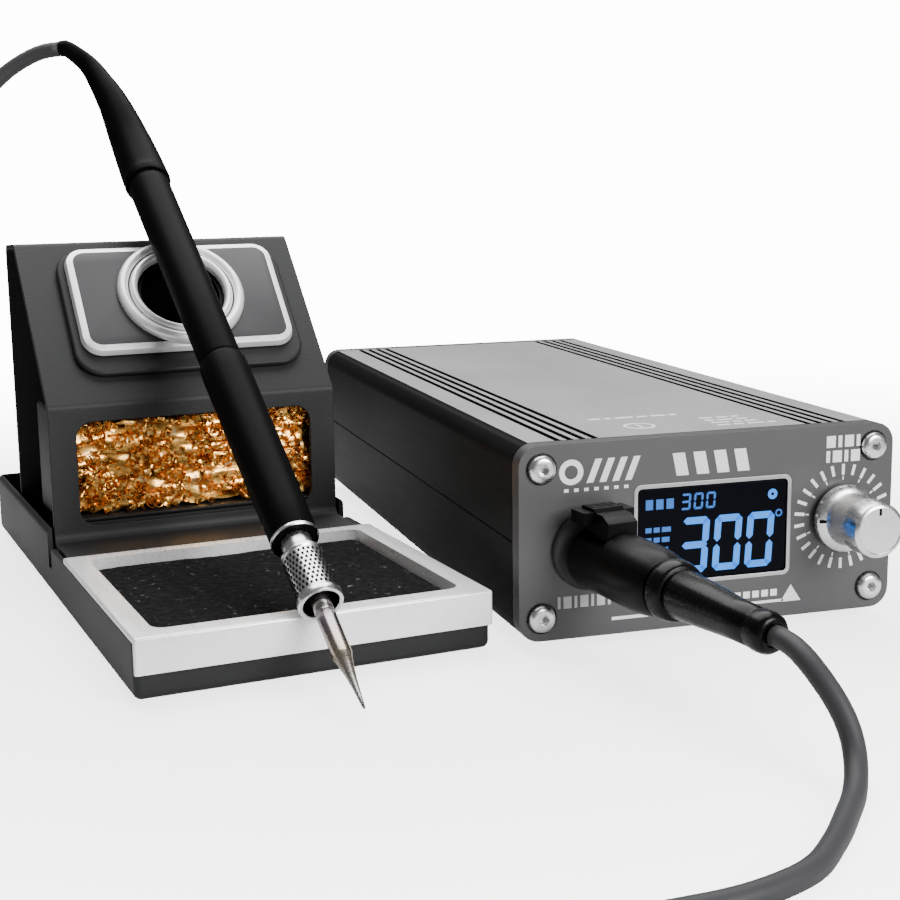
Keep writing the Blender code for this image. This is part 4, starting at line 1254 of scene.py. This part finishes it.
class STATION_OT_prints(StationStep, bpy.types.Operator):
    """Print plain marks on the front panel and the top"""

    bl_idname = "station.prints"
    bl_label = "Prints"

    def execute(self, context):
        marks = ring_parts(11.6, 38.4, 2.7, 1.5)
        marks += [[(x, 35.9), (x + 1.5, 35.9), (x + 3.5, 40.9), (x + 2, 40.9)]
                  for x in (15, 17.9, 20.8, 23.7)]
        marks += bars(10, 34.2, (1, 1, 1, 1, 1, 1, 1), 1.25, 0.7)
        for i in range(4):
            x = 34.6 + i * 4.8
            marks += [[(x + 1, 36), (x + 3.8, 36), (x + 2.8, 40.9), (x, 40.9)]]
        marks += bars(71.4, 39.6, (2.2, 0.9, 2.2, 0.9), 0.7, 2.6)
        marks += bars(71.4, 36.3, (0.9, 2.2, 0.9, 2.2), 0.7, 2.6)
        marks += bars(49.7, 5.9, (12,), 0, 0.6) + bars(49.7, 7.4, (1.6, 1.6, 1.6, 1.6, 1.6), 0.6, 1.5)
        marks += [[(61, 5.8), (66, 5.8), (63.5, 9.6)]]
        marks += bars(20.9, 5.6, (8.7,), 0, 0.7)
        face = PANEL_LOW.y
        piece("panel_marks", flat_shapes(marks, face - 0.04, face + 0.02), UNIT, "ink", "station")
        faint = bars(8.6, 9.2, (0.6, 1.8, 0.6, 1.8, 0.6, 1.8, 0.6), 0.7, 2.6)
        piece("faint_marks", flat_shapes(faint, face - 0.04, face + 0.02), UNIT, "faint_ink", "station")
        top = ring_parts(33.5, 15, 3.6, 2.9, count=32)
        top += bars(33.2, 13.2, (0.6,), 0, 2.2) + bars(33.2, 16, (0.6,), 0, 0.7)
        top += bars(26, 26, (3, 1.6, 4.4, 2.4, 3.6, 1.8), 1, 1.3)
        for i, sizes in enumerate(((3, 2.4, 4, 2), (4.4, 2, 3), (2.2, 3.6, 2.8), (3.4, 2.8, 1.8))):
            top += bars(50, 9.4 + i * 3.2, sizes, 0.9, 0.9)
        high = span("case_top", UNIT)[1].z
        piece("top_marks", flat_shapes(top, high - 0.02, high + 0.04, "XY"), UNIT, "ink", "station")
        return {"FINISHED"}


TICK_RADIUS = 10.6


class STATION_OT_knob(StationStep, bpy.types.Operator):
    """Build the knob and the ring of marks round it"""

    bl_idname = "station.knob"
    bl_label = "Knob"

    def execute(self, context):
        count = context.scene.unit_looks.tick_count
        face = Matrix.Translation((KNOB.x, 0, KNOB.z)) @ FORWARD
        reach = -span("knob", UNIT)[0].y
        points = []
        for i in range(count):
            angle = 2 * math.pi * i / count
            points.append((TICK_RADIUS * math.sin(angle), TICK_RADIUS * math.cos(angle), 0.02))
        tick = block(-1.2, 1.2, -0.36, 0.36, -0.03, 0.03)
        ticks = copies("knob_ticks", tick, points, "ink", spin=True)
        dress(settle(ticks, UNIT @ face), "ink", "station")
        dots = copies("knob_dots", block(-0.4, 0.4, -0.16, 0.16, -0.03, 0.03),
                      [(x * 0.82, y * 0.82, z) for x, y, z in points[::2]], "ink", spin=True)
        dress(settle(dots, UNIT @ face), "ink", "station")
        profile = ((3.3, 0.8), (6.9, 0.8), (7.4, 1.1), (7.5, 1.5), (7.5, 2.5), (7.2, 2.9), (6.4, 3.3),
                   (5.9, 3.6), (5.6, 4.3), (5.4, 5.2), (5.4, reach - 6.6), (5.6, reach - 6),
                   (6, reach - 5.7), (6, reach - 0.9), (5.85, reach - 0.45), (5.4, reach - 0.1),
                   (5.1, reach), (4.9, reach - 0.15), (0, reach - 0.15), (0, reach - 3.2),
                   (3.3, reach - 3.2))
        knob = turned(profile, 96)
        for face_of in knob.faces:
            centre = face_of.calc_center_median()
            if 4 < centre.z < reach - 6 and centre.to_2d().length > 5:
                face_of.material_index = 1
        piece("knob_turned", knob, UNIT @ face, ("silver", "steel"), "knob", ("knob",), smooth=28)
        line = join(block(-7.3, -5.9, -0.3, 0.3, 3, 3.6), block(-0.3, 0.3, 3.4, 5, reach - 0.2, reach - 0.12))
        piece("knob_index", line, UNIT @ face, "black", "knob")
        return {"FINISHED"}


class STATION_OT_rear(StationStep, bpy.types.Operator):
    """Build the mains inlet and the power switch"""

    bl_idname = "station.rear"
    bl_label = "Rear"

    def execute(self, context):
        low, high = span("mains_inlet", UNIT)
        back = CASE_LENGTH
        body = block(low.x, high.x, low.y, back + 0.1, low.z, high.z)
        flange = block(low.x - 1.6, high.x + 1.6, back + 0.05, high.y, low.z - 1.6, high.z + 1.6)
        outline = rounded(low.x + 2.7, high.x - 2.7, low.z + 3.2, high.z - 3.2, 2.5)
        room = prism(outline, back - 14, back + 3, "XZ")
        inlet = carved(body, flange, operation="UNION")
        piece("inlet_body", carved(inlet, room), UNIT, "black", "station", ("mains_inlet",), 0.3)
        centre = (low + high) / 2
        pins = []
        for x, z in ((-7, -1), (0, 1.5), (7, -1)):
            x, z = centre.x + x, centre.z + z
            pins.append(block(x - 1, x + 1, back - 14.5, back - 3, z - 2, z + 2, 0.4))
        piece("inlet_pins", join(*pins), UNIT, "silver", "station")
        low, high = span("switch_frame", UNIT)
        body = block(low.x, high.x, low.y, back + 0.1, low.z, high.z)
        flange = block(low.x - 1.2, high.x + 1.2, back + 0.05, high.y, low.z - 1.2, high.z + 1.2)
        frame_body = carved(body, flange, operation="UNION")
        room = block(low.x + 1.7, high.x - 1.7, back - 12.5, back + 3, low.z + 1.7, high.z - 1.7)
        piece("switch_bezel", carved(frame_body, room), UNIT, "black", "station", ("switch_frame",),
              0.3)
        self.add_rocker(low, high, back)
        return {"FINISHED"}

    def add_rocker(self, low, high, back):
        """The rocker, pressed in on one side, with a line on one end."""
        pivot = Matrix.Translation(((low.x + high.x) / 2, back - 2.5, (low.z + high.z) / 2))
        pivot = pivot @ Matrix.Rotation(math.radians(9), 4, "Z")
        face = [(7.2 - 1.8 * i, 2.85 + 0.95 * (1 - abs(i - 4) / 4)) for i in range(1, 8)]
        outline = [(7.9, 2.8), *face, (-7.9, 2.8), (-7.2, -2.4), (-3, -6.2), (3, -6.2), (7.2, -2.4)]
        half = (high.z - low.z) / 2 - 2.1
        rocker = prism(outline, -half, half)
        piece("rocker", rocker, UNIT @ pivot, "black", "power_switch", ("power_switch",), 0.3)
        mark = prism([(4.8, 3.2), (5.2, 3.2), (5.2, 3.45), (4.8, 3.5)], -1.6, 1.6)
        piece("rocker_mark", mark, UNIT @ pivot, "ink", "power_switch")


# ----------------------------------------------------------------- stand


# The stand in its own frame: the walls and the shelf of its base, the folds of its body and the
# window in the body's face.
SHEET = 1.2
FRONT_WALL_TOP = 12.8
NOTCH = (84.5, 88)
SHELF_SPAN = (91, 114)
SHELF_INSET = 6
BODY_FRONT = 72
DECK_TOP = 13.2
FACE_Y = 88.4
FOLD_TOP = 46.1
CREST = (123.2, 83.2)
REAR_LEG_Y = 136
FLANGE_END = 148
WOOL_WINDOW = (8.3, 67.3, 16.6, 42)
HOLDER_HOLE = 11


class STATION_OT_base(StationStep, bpy.types.Operator):
    """Build the stand's folded pan"""

    bl_idname = "station.base"
    bl_label = "Stand base"

    def execute(self, context):
        low, high = span("stand_base", STAND)
        pan = block(low.x, high.x, low.y, high.y, low.z, high.z, 1.6, 5)
        over = high.z + 1
        inside = block(low.x + SHEET, high.x - SHEET, low.y + SHEET, high.y - SHEET, low.z + SHEET, over)
        step = block(-1, high.x + 1, 0, NOTCH[1], FRONT_WALL_TOP, over)
        notch = block(-1, high.x + 1, *NOTCH, FRONT_WALL_TOP - 5, over)
        pan = carved(pan, inside, step, notch)
        left, right, shelf = SHELF_INSET, high.x - SHELF_INSET, high.z
        inner, legs = shelf - SHEET, low.z + SHEET - 0.4
        bridge = ((left, legs), (left + SHEET, legs), (left + SHEET, inner), (right - SHEET, inner),
                  (right - SHEET, legs), (right, legs), (right, shelf), (left, shelf))
        pan = carved(pan, prism(bridge, *SHELF_SPAN, "XZ"), operation="UNION")
        piece("pan", pan, STAND, "powder", "station", ("stand_base",), 0.3, segments=3)
        return {"FINISHED"}


class STATION_OT_body(StationStep, bpy.types.Operator):
    """Build the folded body with its window and its screws"""

    bl_idname = "station.body"
    bl_label = "Stand body"

    def execute(self, context):
        low, high = span("stand_body", STAND)
        foot = low.z + SHEET
        line = ((BODY_FRONT, low.z), (BODY_FRONT, DECK_TOP), (FACE_Y, DECK_TOP), (FACE_Y, FOLD_TOP), CREST,
                (REAR_LEG_Y, CREST[1] - 0.6), (REAR_LEG_Y, foot), (FLANGE_END, foot))
        sheet = strip(filleted(line, context.scene.stand_looks.bend), SHEET, low.x, high.x)
        window = prism(rounded(*WOOL_WINDOW, 4), FACE_Y - 4, FACE_Y + 4, "XZ")
        hole = moved(rod(HOLDER_HOLE + 0.5, -6, 4), STAND.inverted() @ HOLDER)
        piece("folded_body", carved(sheet, window, hole), STAND, "powder", "station", ("stand_body",),
              0.22, segments=3)
        for number in (1, 2):
            centre = middle(f"stand_screw_{number}", STAND)
            base = span(f"stand_screw_{number}", STAND)[0].z
            head = turned(((0, 0), (3.1, 0), (3.2, 0.2), (3, 0.9), (2.4, 1.5), (1.5, 1.8), (0, 1.8)), 48)
            head = carved(head, block(-1.7, 1.7, -0.3, 0.3, 0.9, 3), block(-0.3, 0.3, -1.7, 1.7, 0.9, 3))
            place = STAND @ Matrix.Translation((centre.x, centre.y, base))
            piece(f"body_screw_{number}", head, place, "silver", "station", (f"stand_screw_{number}",))
        return {"FINISHED"}


class STATION_OT_holder(StationStep, bpy.types.Operator):
    """Build the holder: pad, plate, bright ring and sleeve"""

    bl_idname = "station.holder"
    bl_label = "Holder"

    def execute(self, context):
        bore = rod(HOLDER_HOLE + 0.5, -2, 9, 96)
        low, high = span("holder_pad", HOLDER)
        pad = carved(prism(rounded(low.x, high.x, low.y, high.y, 7, 12), low.z, high.z), bore.copy())
        piece("pad", pad, HOLDER, "pad", "station", ("holder_pad",), 0.8, segments=4)
        low, high = span("holder_plate", HOLDER)
        shape = prism(rounded(low.x, high.x, low.y, high.y, 5, 12), low.z, high.z)
        rim = [edge for edge in shape.edges if all(v.co.z > high.z - 0.01 for v in edge.verts)]
        bmesh.ops.bevel(shape, geom=rim, offset=1.9, segments=2, profile=0.6, affect="EDGES")
        plate = carved(shape, bore)
        for face in plate.faces:
            sloping = 0.05 < face.normal.z < 0.97
            far = face.calc_center_median().to_2d().length > HOLDER_HOLE + 3
            face.material_index = 1 if sloping and far else 0
        piece("plate", plate, HOLDER, ("plate", "polished"), "station", ("holder_plate",), smooth=25)
        self.add_ring(HOLDER_HOLE)
        return {"FINISHED"}

    def add_ring(self, hole):
        """Two bright beads round the hole and the dark sleeve in it."""
        low, high = span("holder_ring", HOLDER)
        base, crest = low.z, high.z
        outer = high.x
        profile = [(outer, base), (outer, base + 0.7)]
        profile += [(outer - 1.35 + 1.35 * x, base + 0.75 + 1.45 * z) for x, z in
                    ((math.cos(a), math.sin(a)) for a in (math.radians(k * 20) for k in range(1, 10)))]
        profile += [(hole + 2.1, base + 0.8)]
        profile += [(hole + 1.05 + 1.05 * x, base + 0.8 + 1.4 * z) for x, z in
                    ((math.cos(a), math.sin(a)) for a in (math.radians(k * 20) for k in range(0, 10)))]
        profile += [(hole, base)]
        ring = turned(profile, 128)
        for vert in ring.verts:
            vert.co.z = min(vert.co.z, crest)
        for face in ring.faces:
            middle_radius = face.calc_center_median().to_2d().length
            face.material_index = 1 if hole + 2.1 < middle_radius < outer - 2.6 else 0
        piece("ring", ring, HOLDER, ("polished", "plate"), "station", ("holder_ring",), smooth=40)
        deep, level = span("holder_sleeve", HOLDER)
        sleeve = ((hole, deep.z), (hole, level.z - 0.3), (hole - 0.3, level.z), (hole - 1, level.z),
                  (hole - 1.2, level.z - 0.3), (hole - 1.2, deep.z + 1.2), (5, deep.z + 1.2), (5, deep.z))
        piece("sleeve", turned(sleeve, 96), HOLDER, "black", "station", ("holder_sleeve",))


def curl(seed):
    """One brass turning: a flat ribbon that curls round itself."""
    rng = random.Random(seed)
    radius = rng.uniform(0.9, 1.7)
    pitch = rng.uniform(0.9, 2.2)
    turns = rng.uniform(1.1, 2.1)
    count = 16
    bm = bmesh.new()
    rows = []
    for i in range(count + 1):
        t = i / count
        angle = 2 * math.pi * turns * t
        r = radius * (1 - 0.35 * t)
        centre = Vector((r * math.cos(angle), r * math.sin(angle), pitch * turns * (t - 0.5)))
        out = Vector((math.cos(angle), math.sin(angle), 0.3)).normalized()
        side = Vector((0, 0, 1)) * 0.32
        rows.append([bm.verts.new(centre + out * a * 0.07 + side * b)
                     for a, b in ((1, 1), (1, -1), (-1, -1), (-1, 1))])
    for first, second in zip(rows, rows[1:]):
        for i in range(4):
            bm.faces.new((first[i], first[(i + 1) % 4], second[(i + 1) % 4], second[i]))
    bm.faces.new(reversed(rows[0]))
    bm.faces.new(rows[-1])
    return bm


class STATION_OT_wool(StationStep, bpy.types.Operator):
    """Build the drawer behind the window and its brass wool"""

    bl_idname = "station.wool"
    bl_label = "Brass wool"

    def execute(self, context):
        low, high = span("wool_box", STAND)
        outside = block(low.x, high.x, low.y, high.y, low.z, high.z, 0.6, 3)
        room = block(low.x + 1, high.x - 1, low.y - 1, high.y - 1, low.z + 0.9, high.z + 1)
        piece("drawer", carved(outside, room), STAND, "powder", "wool_drawer", ("wool_box",), 0.15)
        low, high = span("brass_wool", STAND)
        core = block(low.x + 0.5, high.x - 0.5, low.y + 3.4, high.y - 0.5, low.z + 0.5, high.z - 2.4)
        bmesh.ops.subdivide_edges(core, edges=core.edges[:], cuts=28, use_grid_fill=True)
        for vert in core.verts:
            lump = noise.noise(vert.co * 0.45) * 1.3 + noise.noise(vert.co * 1.4) * 0.7
            vert.co += vert.normal * lump
            vert.co.y = max(vert.co.y, low.y + 1.4)
        piece("wool_core", core, STAND, "brass", "wool_drawer", ("brass_wool",))
        self.add_turnings(context, low, high)
        return {"FINISHED"}

    def add_turnings(self, context, low, high):
        """Curled turnings over the front and the top of the wool, scattered by a node tree."""
        skin = block(low.x + 2.2, high.x - 2.2, low.y + 2.4, high.y - 3, low.z + 2, high.z - 2.6)
        hidden = [face for face in skin.faces if face.normal.y > 0.5 or face.normal.z < -0.5]
        bmesh.ops.delete(skin, geom=hidden, context="FACES")
        host = as_object("turnings", skin)
        samples = [as_object(f"turning_{i}", curl(i)) for i in range(4)]
        whole = []
        for i, sample in enumerate(samples):
            base = bpy.data.objects.new(f"turnings_{i}", host.data.copy())
            bpy.context.scene.collection.objects.link(base)
            whole.append(self.scatter(base, sample, context.scene.stand_looks.strands // 4, 31 + i))
        joined = join(*(self.as_bmesh(obj) for obj in whole))
        for obj in (host, *samples, *whole):
            bpy.data.objects.remove(obj, do_unlink=True)
        for vert in joined.verts:
            vert.co.z -= 1.2 * ease(vert.co.z, high.z, low.z + 1)
            vert.co.y = max(vert.co.y, low.y + 0.1)
            vert.co.z = min(max(vert.co.z, low.z), high.z + 0.4)
            vert.co.x = min(max(vert.co.x, low.x), high.x)
        piece("wool_turnings", joined, STAND, "brass", "wool_drawer", smooth=50)

    def as_bmesh(self, obj):
        """An object's mesh as a bmesh."""
        bm = bmesh.new()
        bm.from_mesh(obj.data)
        return bm

    def scatter(self, base, sample, count, seed):
        """Copies of one turning on a surface, turned every way."""
        area = sum(face.area for face in base.data.polygons)
        tree = Tree(f"scatter_{seed}", Material=LOOKS["brass"], Shape=sample, Density=count / area, Seed=seed)
        points = tree.node("GeometryNodeDistributePointsOnFaces", {"distribute_method": "RANDOM"}, {
            "Mesh": tree.inputs["Geometry"], "Density": tree.inputs["Density"], "Seed": tree.inputs["Seed"]})
        full = 2 * math.pi
        turn = tree.node("FunctionNodeRandomValue", {"data_type": "FLOAT_VECTOR"}, {
            "Max": (full, full, full), "Seed": tree.inputs["Seed"]})
        limits = {2: 0.75, 3: 1.35, "Seed": tree.inputs["Seed"]}
        size = tree.node("FunctionNodeRandomValue", {"data_type": "FLOAT"}, limits, 1)
        info = tree.node("GeometryNodeObjectInfo", None, {"Object": tree.inputs["Shape"]}, "Geometry")
        placed = tree.node("GeometryNodeInstanceOnPoints", None, {
            "Points": points, "Instance": info, "Rotation": turn, "Scale": size})
        return tree.make(base.name, placed, base)


class STATION_OT_tray(StationStep, bpy.types.Operator):
    """Build the bright tray and the sponge in it"""

    bl_idname = "station.tray"
    bl_label = "Tray and sponge"

    def execute(self, context):
        low, high = span("sponge_tray", STAND)
        rim = 5
        skin = rim - 0.9
        under = high.z - 1.1
        tray = block(low.x, high.x, low.y, high.y, low.z, high.z, 0.55, 4)
        room = rounded(low.x + rim, high.x - rim, low.y + rim, high.y - rim + 1, 3)
        cutters = [
            prism(room, low.z + 0.9, high.z + 1),
            block(low.x - 1, low.x + skin, 0.9, high.y + 1, low.z - 1, under),
            block(high.x - skin, high.x + 1, 0.9, high.y + 1, low.z - 1, under),
            block(low.x - 1, high.x + 1, 0.9, skin, low.z - 1, under),
            block(low.x - 1, high.x + 1, high.y - skin + 1, high.y + 1, low.z - 1, under),
            block(low.x - 1, high.x + 1, -1, 1.2, low.z - 1, 6.8),
        ]
        piece("tray", carved(tray, *cutters), STAND, "chrome", "tray", ("sponge_tray",), 0.3,
              segments=3)
        low, high = span("sponge", STAND)
        sponge = as_object("sponge_pad", moved(self.pad(low, high), Matrix.Scale(MM, 4) @ STAND))
        dress(sponge, "foam", "sponge", ("sponge",), smooth=180)
        return {"FINISHED"}

    def pad(self, low, high):
        """A soft block whose faces swell and pit a little and whose corners are round."""
        pad = block(low.x, high.x, low.y, high.y, low.z, high.z)
        bmesh.ops.subdivide_edges(pad, edges=pad.edges[:], cuts=46, use_grid_fill=True)
        centre, half = (low + high) / 2, (high - low) / 2
        for vert in pad.verts:
            local = vert.co - centre
            edge = 3.0
            reach = Vector((max(0, abs(local.x) - half.x + edge), max(0, abs(local.y) - half.y + edge), 0))
            if reach.length > edge:
                back = reach * (edge / reach.length - 1)
                local += Vector((math.copysign(-back.x, -local.x), math.copysign(-back.y, -local.y), 0))
            roll = ease(max(abs(local.x) - half.x, abs(local.y) - half.y), -2.2, 0) * 0.8
            pits = noise.noise(vert.co * 0.9) * 0.22 + noise.noise(vert.co * 2.3) * 0.16
            swell = noise.noise(vert.co * 0.09) * 0.35
            if local.z > 0:
                local.z -= roll * (local.z / half.z) - min(0, pits) - min(0, swell)
            vert.co = centre + local
        return pad


# ------------------------------------------------------------------- iron


class STATION_OT_iron(StationStep, bpy.types.Operator):
    """Build the iron: handle, grip, ferrule, cartridge and boot"""

    bl_idname = "station.iron"
    bl_label = "Iron"

    def execute(self, context):
        low, high = span("grip_sleeve", IRON)
        start, end = low.z, high.z
        grip = [(2.3, start), (4.5, start), (4.8, start + 0.3), (5, start + 1), (5.15, start + 8),
                (5.2, start + 12), (5.35, start + 30), (5.5, end - 6), (5.5, end - 1.4), (5.3, end - 0.4),
                (4.9, end), (3.6, end), (3.6, end - 20), (2.3, end - 20)]
        piece("grip", turned(grip, 96), IRON, "handle", "iron", ("grip_sleeve",), smooth=30)
        rear = span("handle_body", IRON)[1].z
        handle = ((3.3, end - 19.5), (3.3, end + 0.3), (4.6, end + 0.3), (4.8, end + 0.6), (4.9, end + 1.2),
                  (5.15, end + 30), (5.3, rear - 3), (5.3, rear - 1), (5.15, rear - 0.3), (4.9, rear),
                  (2.6, rear), (2.6, end - 19.5))
        piece("handle", turned(handle, 96), IRON, "handle", "iron", ("handle_body",), smooth=30)
        ring = ((4.95, start - 0.2), (5.15, start + 0.05), (5.15, start + 0.5), (4.95, start + 0.7))
        piece("grip_ring", turned(ring, 96), IRON, "silver", "iron")
        self.add_ferrule(context, start)
        self.add_cartridge()
        self.add_boot(rear)
        return {"FINISHED"}

    def add_ferrule(self, context, grip):
        """A knurled ferrule, open at the front."""
        low = span("ferrule", IRON)[0].z
        high = low + 14.3
        profile = ((2.3, low + 5), (3.5, low + 4.4), (3.75, low + 0.2), (3.9, low), (4.5, low),
                   (4.65, low + 0.25), (4.65, low + 1.6), (4.4, low + 2), (4.1, low + 2.2),
                   (4.1, high - 1.6), (4.3, high - 1.3), (4.3, high - 0.7), (3.7, high), (3.2, high),
                   (3.2, grip - 0.3), (2.3, grip - 0.3))
        shell_piece = turned(profile, 96)
        for face in shell_piece.faces:
            centre = face.calc_center_median()
            inside = centre.to_2d().length < 3.7 and centre.z < low + 5
            face.material_index = 1 if inside else 0
        piece("ferrule_tube", shell_piece, IRON, ("silver", "black"), "iron", ("ferrule",),
              smooth=32)
        rows, count = context.scene.iron_looks.knurl_rows, context.scene.iron_looks.knurl_count
        points = []
        for row in range(rows):
            height = low + 3 + row * (high - low - 5.4) / (rows - 1)
            points += [(x, y, height) for x, y in circle(4.1, count, turn=math.pi / count * (row % 2))]
        dimple = block(-0.06, 0.14, -0.27, 0.27, -0.36, 0.36, 0.08, 1)
        studs = settle(copies("ferrule_studs", dimple, points, "black", spin=True), IRON)
        dress(studs, "black", "iron")

    def add_cartridge(self):
        """The tip, fine at its front and straight behind it."""
        high = span("cartridge", IRON)[1].z
        profile = ((0, 0), (0.18, 0.15), (0.3, 0.5), (0.5, 3), (0.75, 6), (1.05, 8.5), (1.5, 11),
                   (1.7, 12.2), (1.95, 13), (2, 13.4), (2, 24), (1.92, 24.2), (1.92, 24.8), (2, 25),
                   (2, high - 22), (1.8, high - 21.8), (1.8, high - 20.4), (2, high - 20.2), (2, high - 10),
                   (1.6, high), (0, high))
        piece("tip", turned(profile, 64), IRON, "tip", "cartridge", ("cartridge",), smooth=30)

    def add_boot(self, rear):
        """The boot from the handle's rear to the lead, wide at its root and thinner and thinner towards the
        lead.
        """
        along = IRON.to_3x3() @ Vector((0, 0, 1))
        root = IRON @ Vector((0, 0, rear + 0.3))
        last, before = (UNIT @ Vector(p) for p in (IRON_ROUTE[-1], IRON_ROUTE[-2]))
        leaving = (last - before).normalized()
        bends = [UNIT @ Vector(p) for p in BOOT_BENDS]
        line = smooth_line([root, root + along * 6, *bends, last + leaving * 2, last + leaving * 0.4], 1.1)
        count = len(line) - 1
        wide, thin = BOOT_RADII
        radii = [thin + (wide - thin) * (1 - (i / count) ** 2) ** 1.6 for i in range(count + 1)]
        radii[0] -= 0.3
        boot = tube(line, radii, 40)
        obj = as_object("boot", moved(boot, Matrix.Scale(MM, 4)))
        dress(obj, "rubber", "iron", ("handle_boot",), smooth=40)


KEPT = {"control_board": "board", "power_board": "board", "transformer_core": "steel",
        "transformer_winding": "winding", "capacitor": "black", "heat_sink": "silver",
        "encoder_body": "steel", "encoder_shaft": "silver", "display_module": "black",
        "contact_block": "steel"}


class STATION_OT_inside(StationStep, bpy.types.Operator):
    """Give the parts inside their finishes"""

    bl_idname = "station.inside"
    bl_label = "Inside"

    def execute(self, context):
        for node, look in KEPT.items():
            mesh = frame["nodes"][node].data
            mesh.materials.clear()
            mesh.materials.append(LOOKS[look])
        return {"FINISHED"}


class STATION_PT_panel(bpy.types.Panel):
    """Every step and its settings"""

    bl_idname = "STATION_PT_panel"
    bl_label = "Soldering station"
    bl_space_type = "VIEW_3D"
    bl_region_type = "UI"
    bl_category = "Station"

    def draw(self, context):
        layout = self.layout
        for group in ("unit_looks", "stand_looks", "iron_looks", "stage_looks"):
            settings = getattr(context.scene, group)
            column = layout.column()
            for name in settings.__annotations__:
                column.prop(settings, name)
        for step in StationStep.steps:
            layout.operator(step.bl_idname)


GROUPS = {"unit_looks": UnitLooks, "stand_looks": StandLooks, "iron_looks": IronLooks,
          "stage_looks": StageLooks}


def register():
    """Add the steps, the settings and the panel to Blender."""
    for cls in (*GROUPS.values(), *StationStep.steps, STATION_PT_panel):
        bpy.utils.register_class(cls)
    for name, cls in GROUPS.items():
        setattr(bpy.types.Scene, name, PointerProperty(type=cls))


def unregister():
    """Take them out again."""
    for name in GROUPS:
        delattr(bpy.types.Scene, name)
    for cls in (STATION_PT_panel, *reversed(StationStep.steps), *reversed(list(GROUPS.values()))):
        bpy.utils.unregister_class(cls)


def main():
    """Run every step."""
    register()
    for step in StationStep.steps:
        group, name = step.bl_idname.split(".")
        getattr(getattr(bpy.ops, group), name)()


if __name__ == "__main__":
    main()
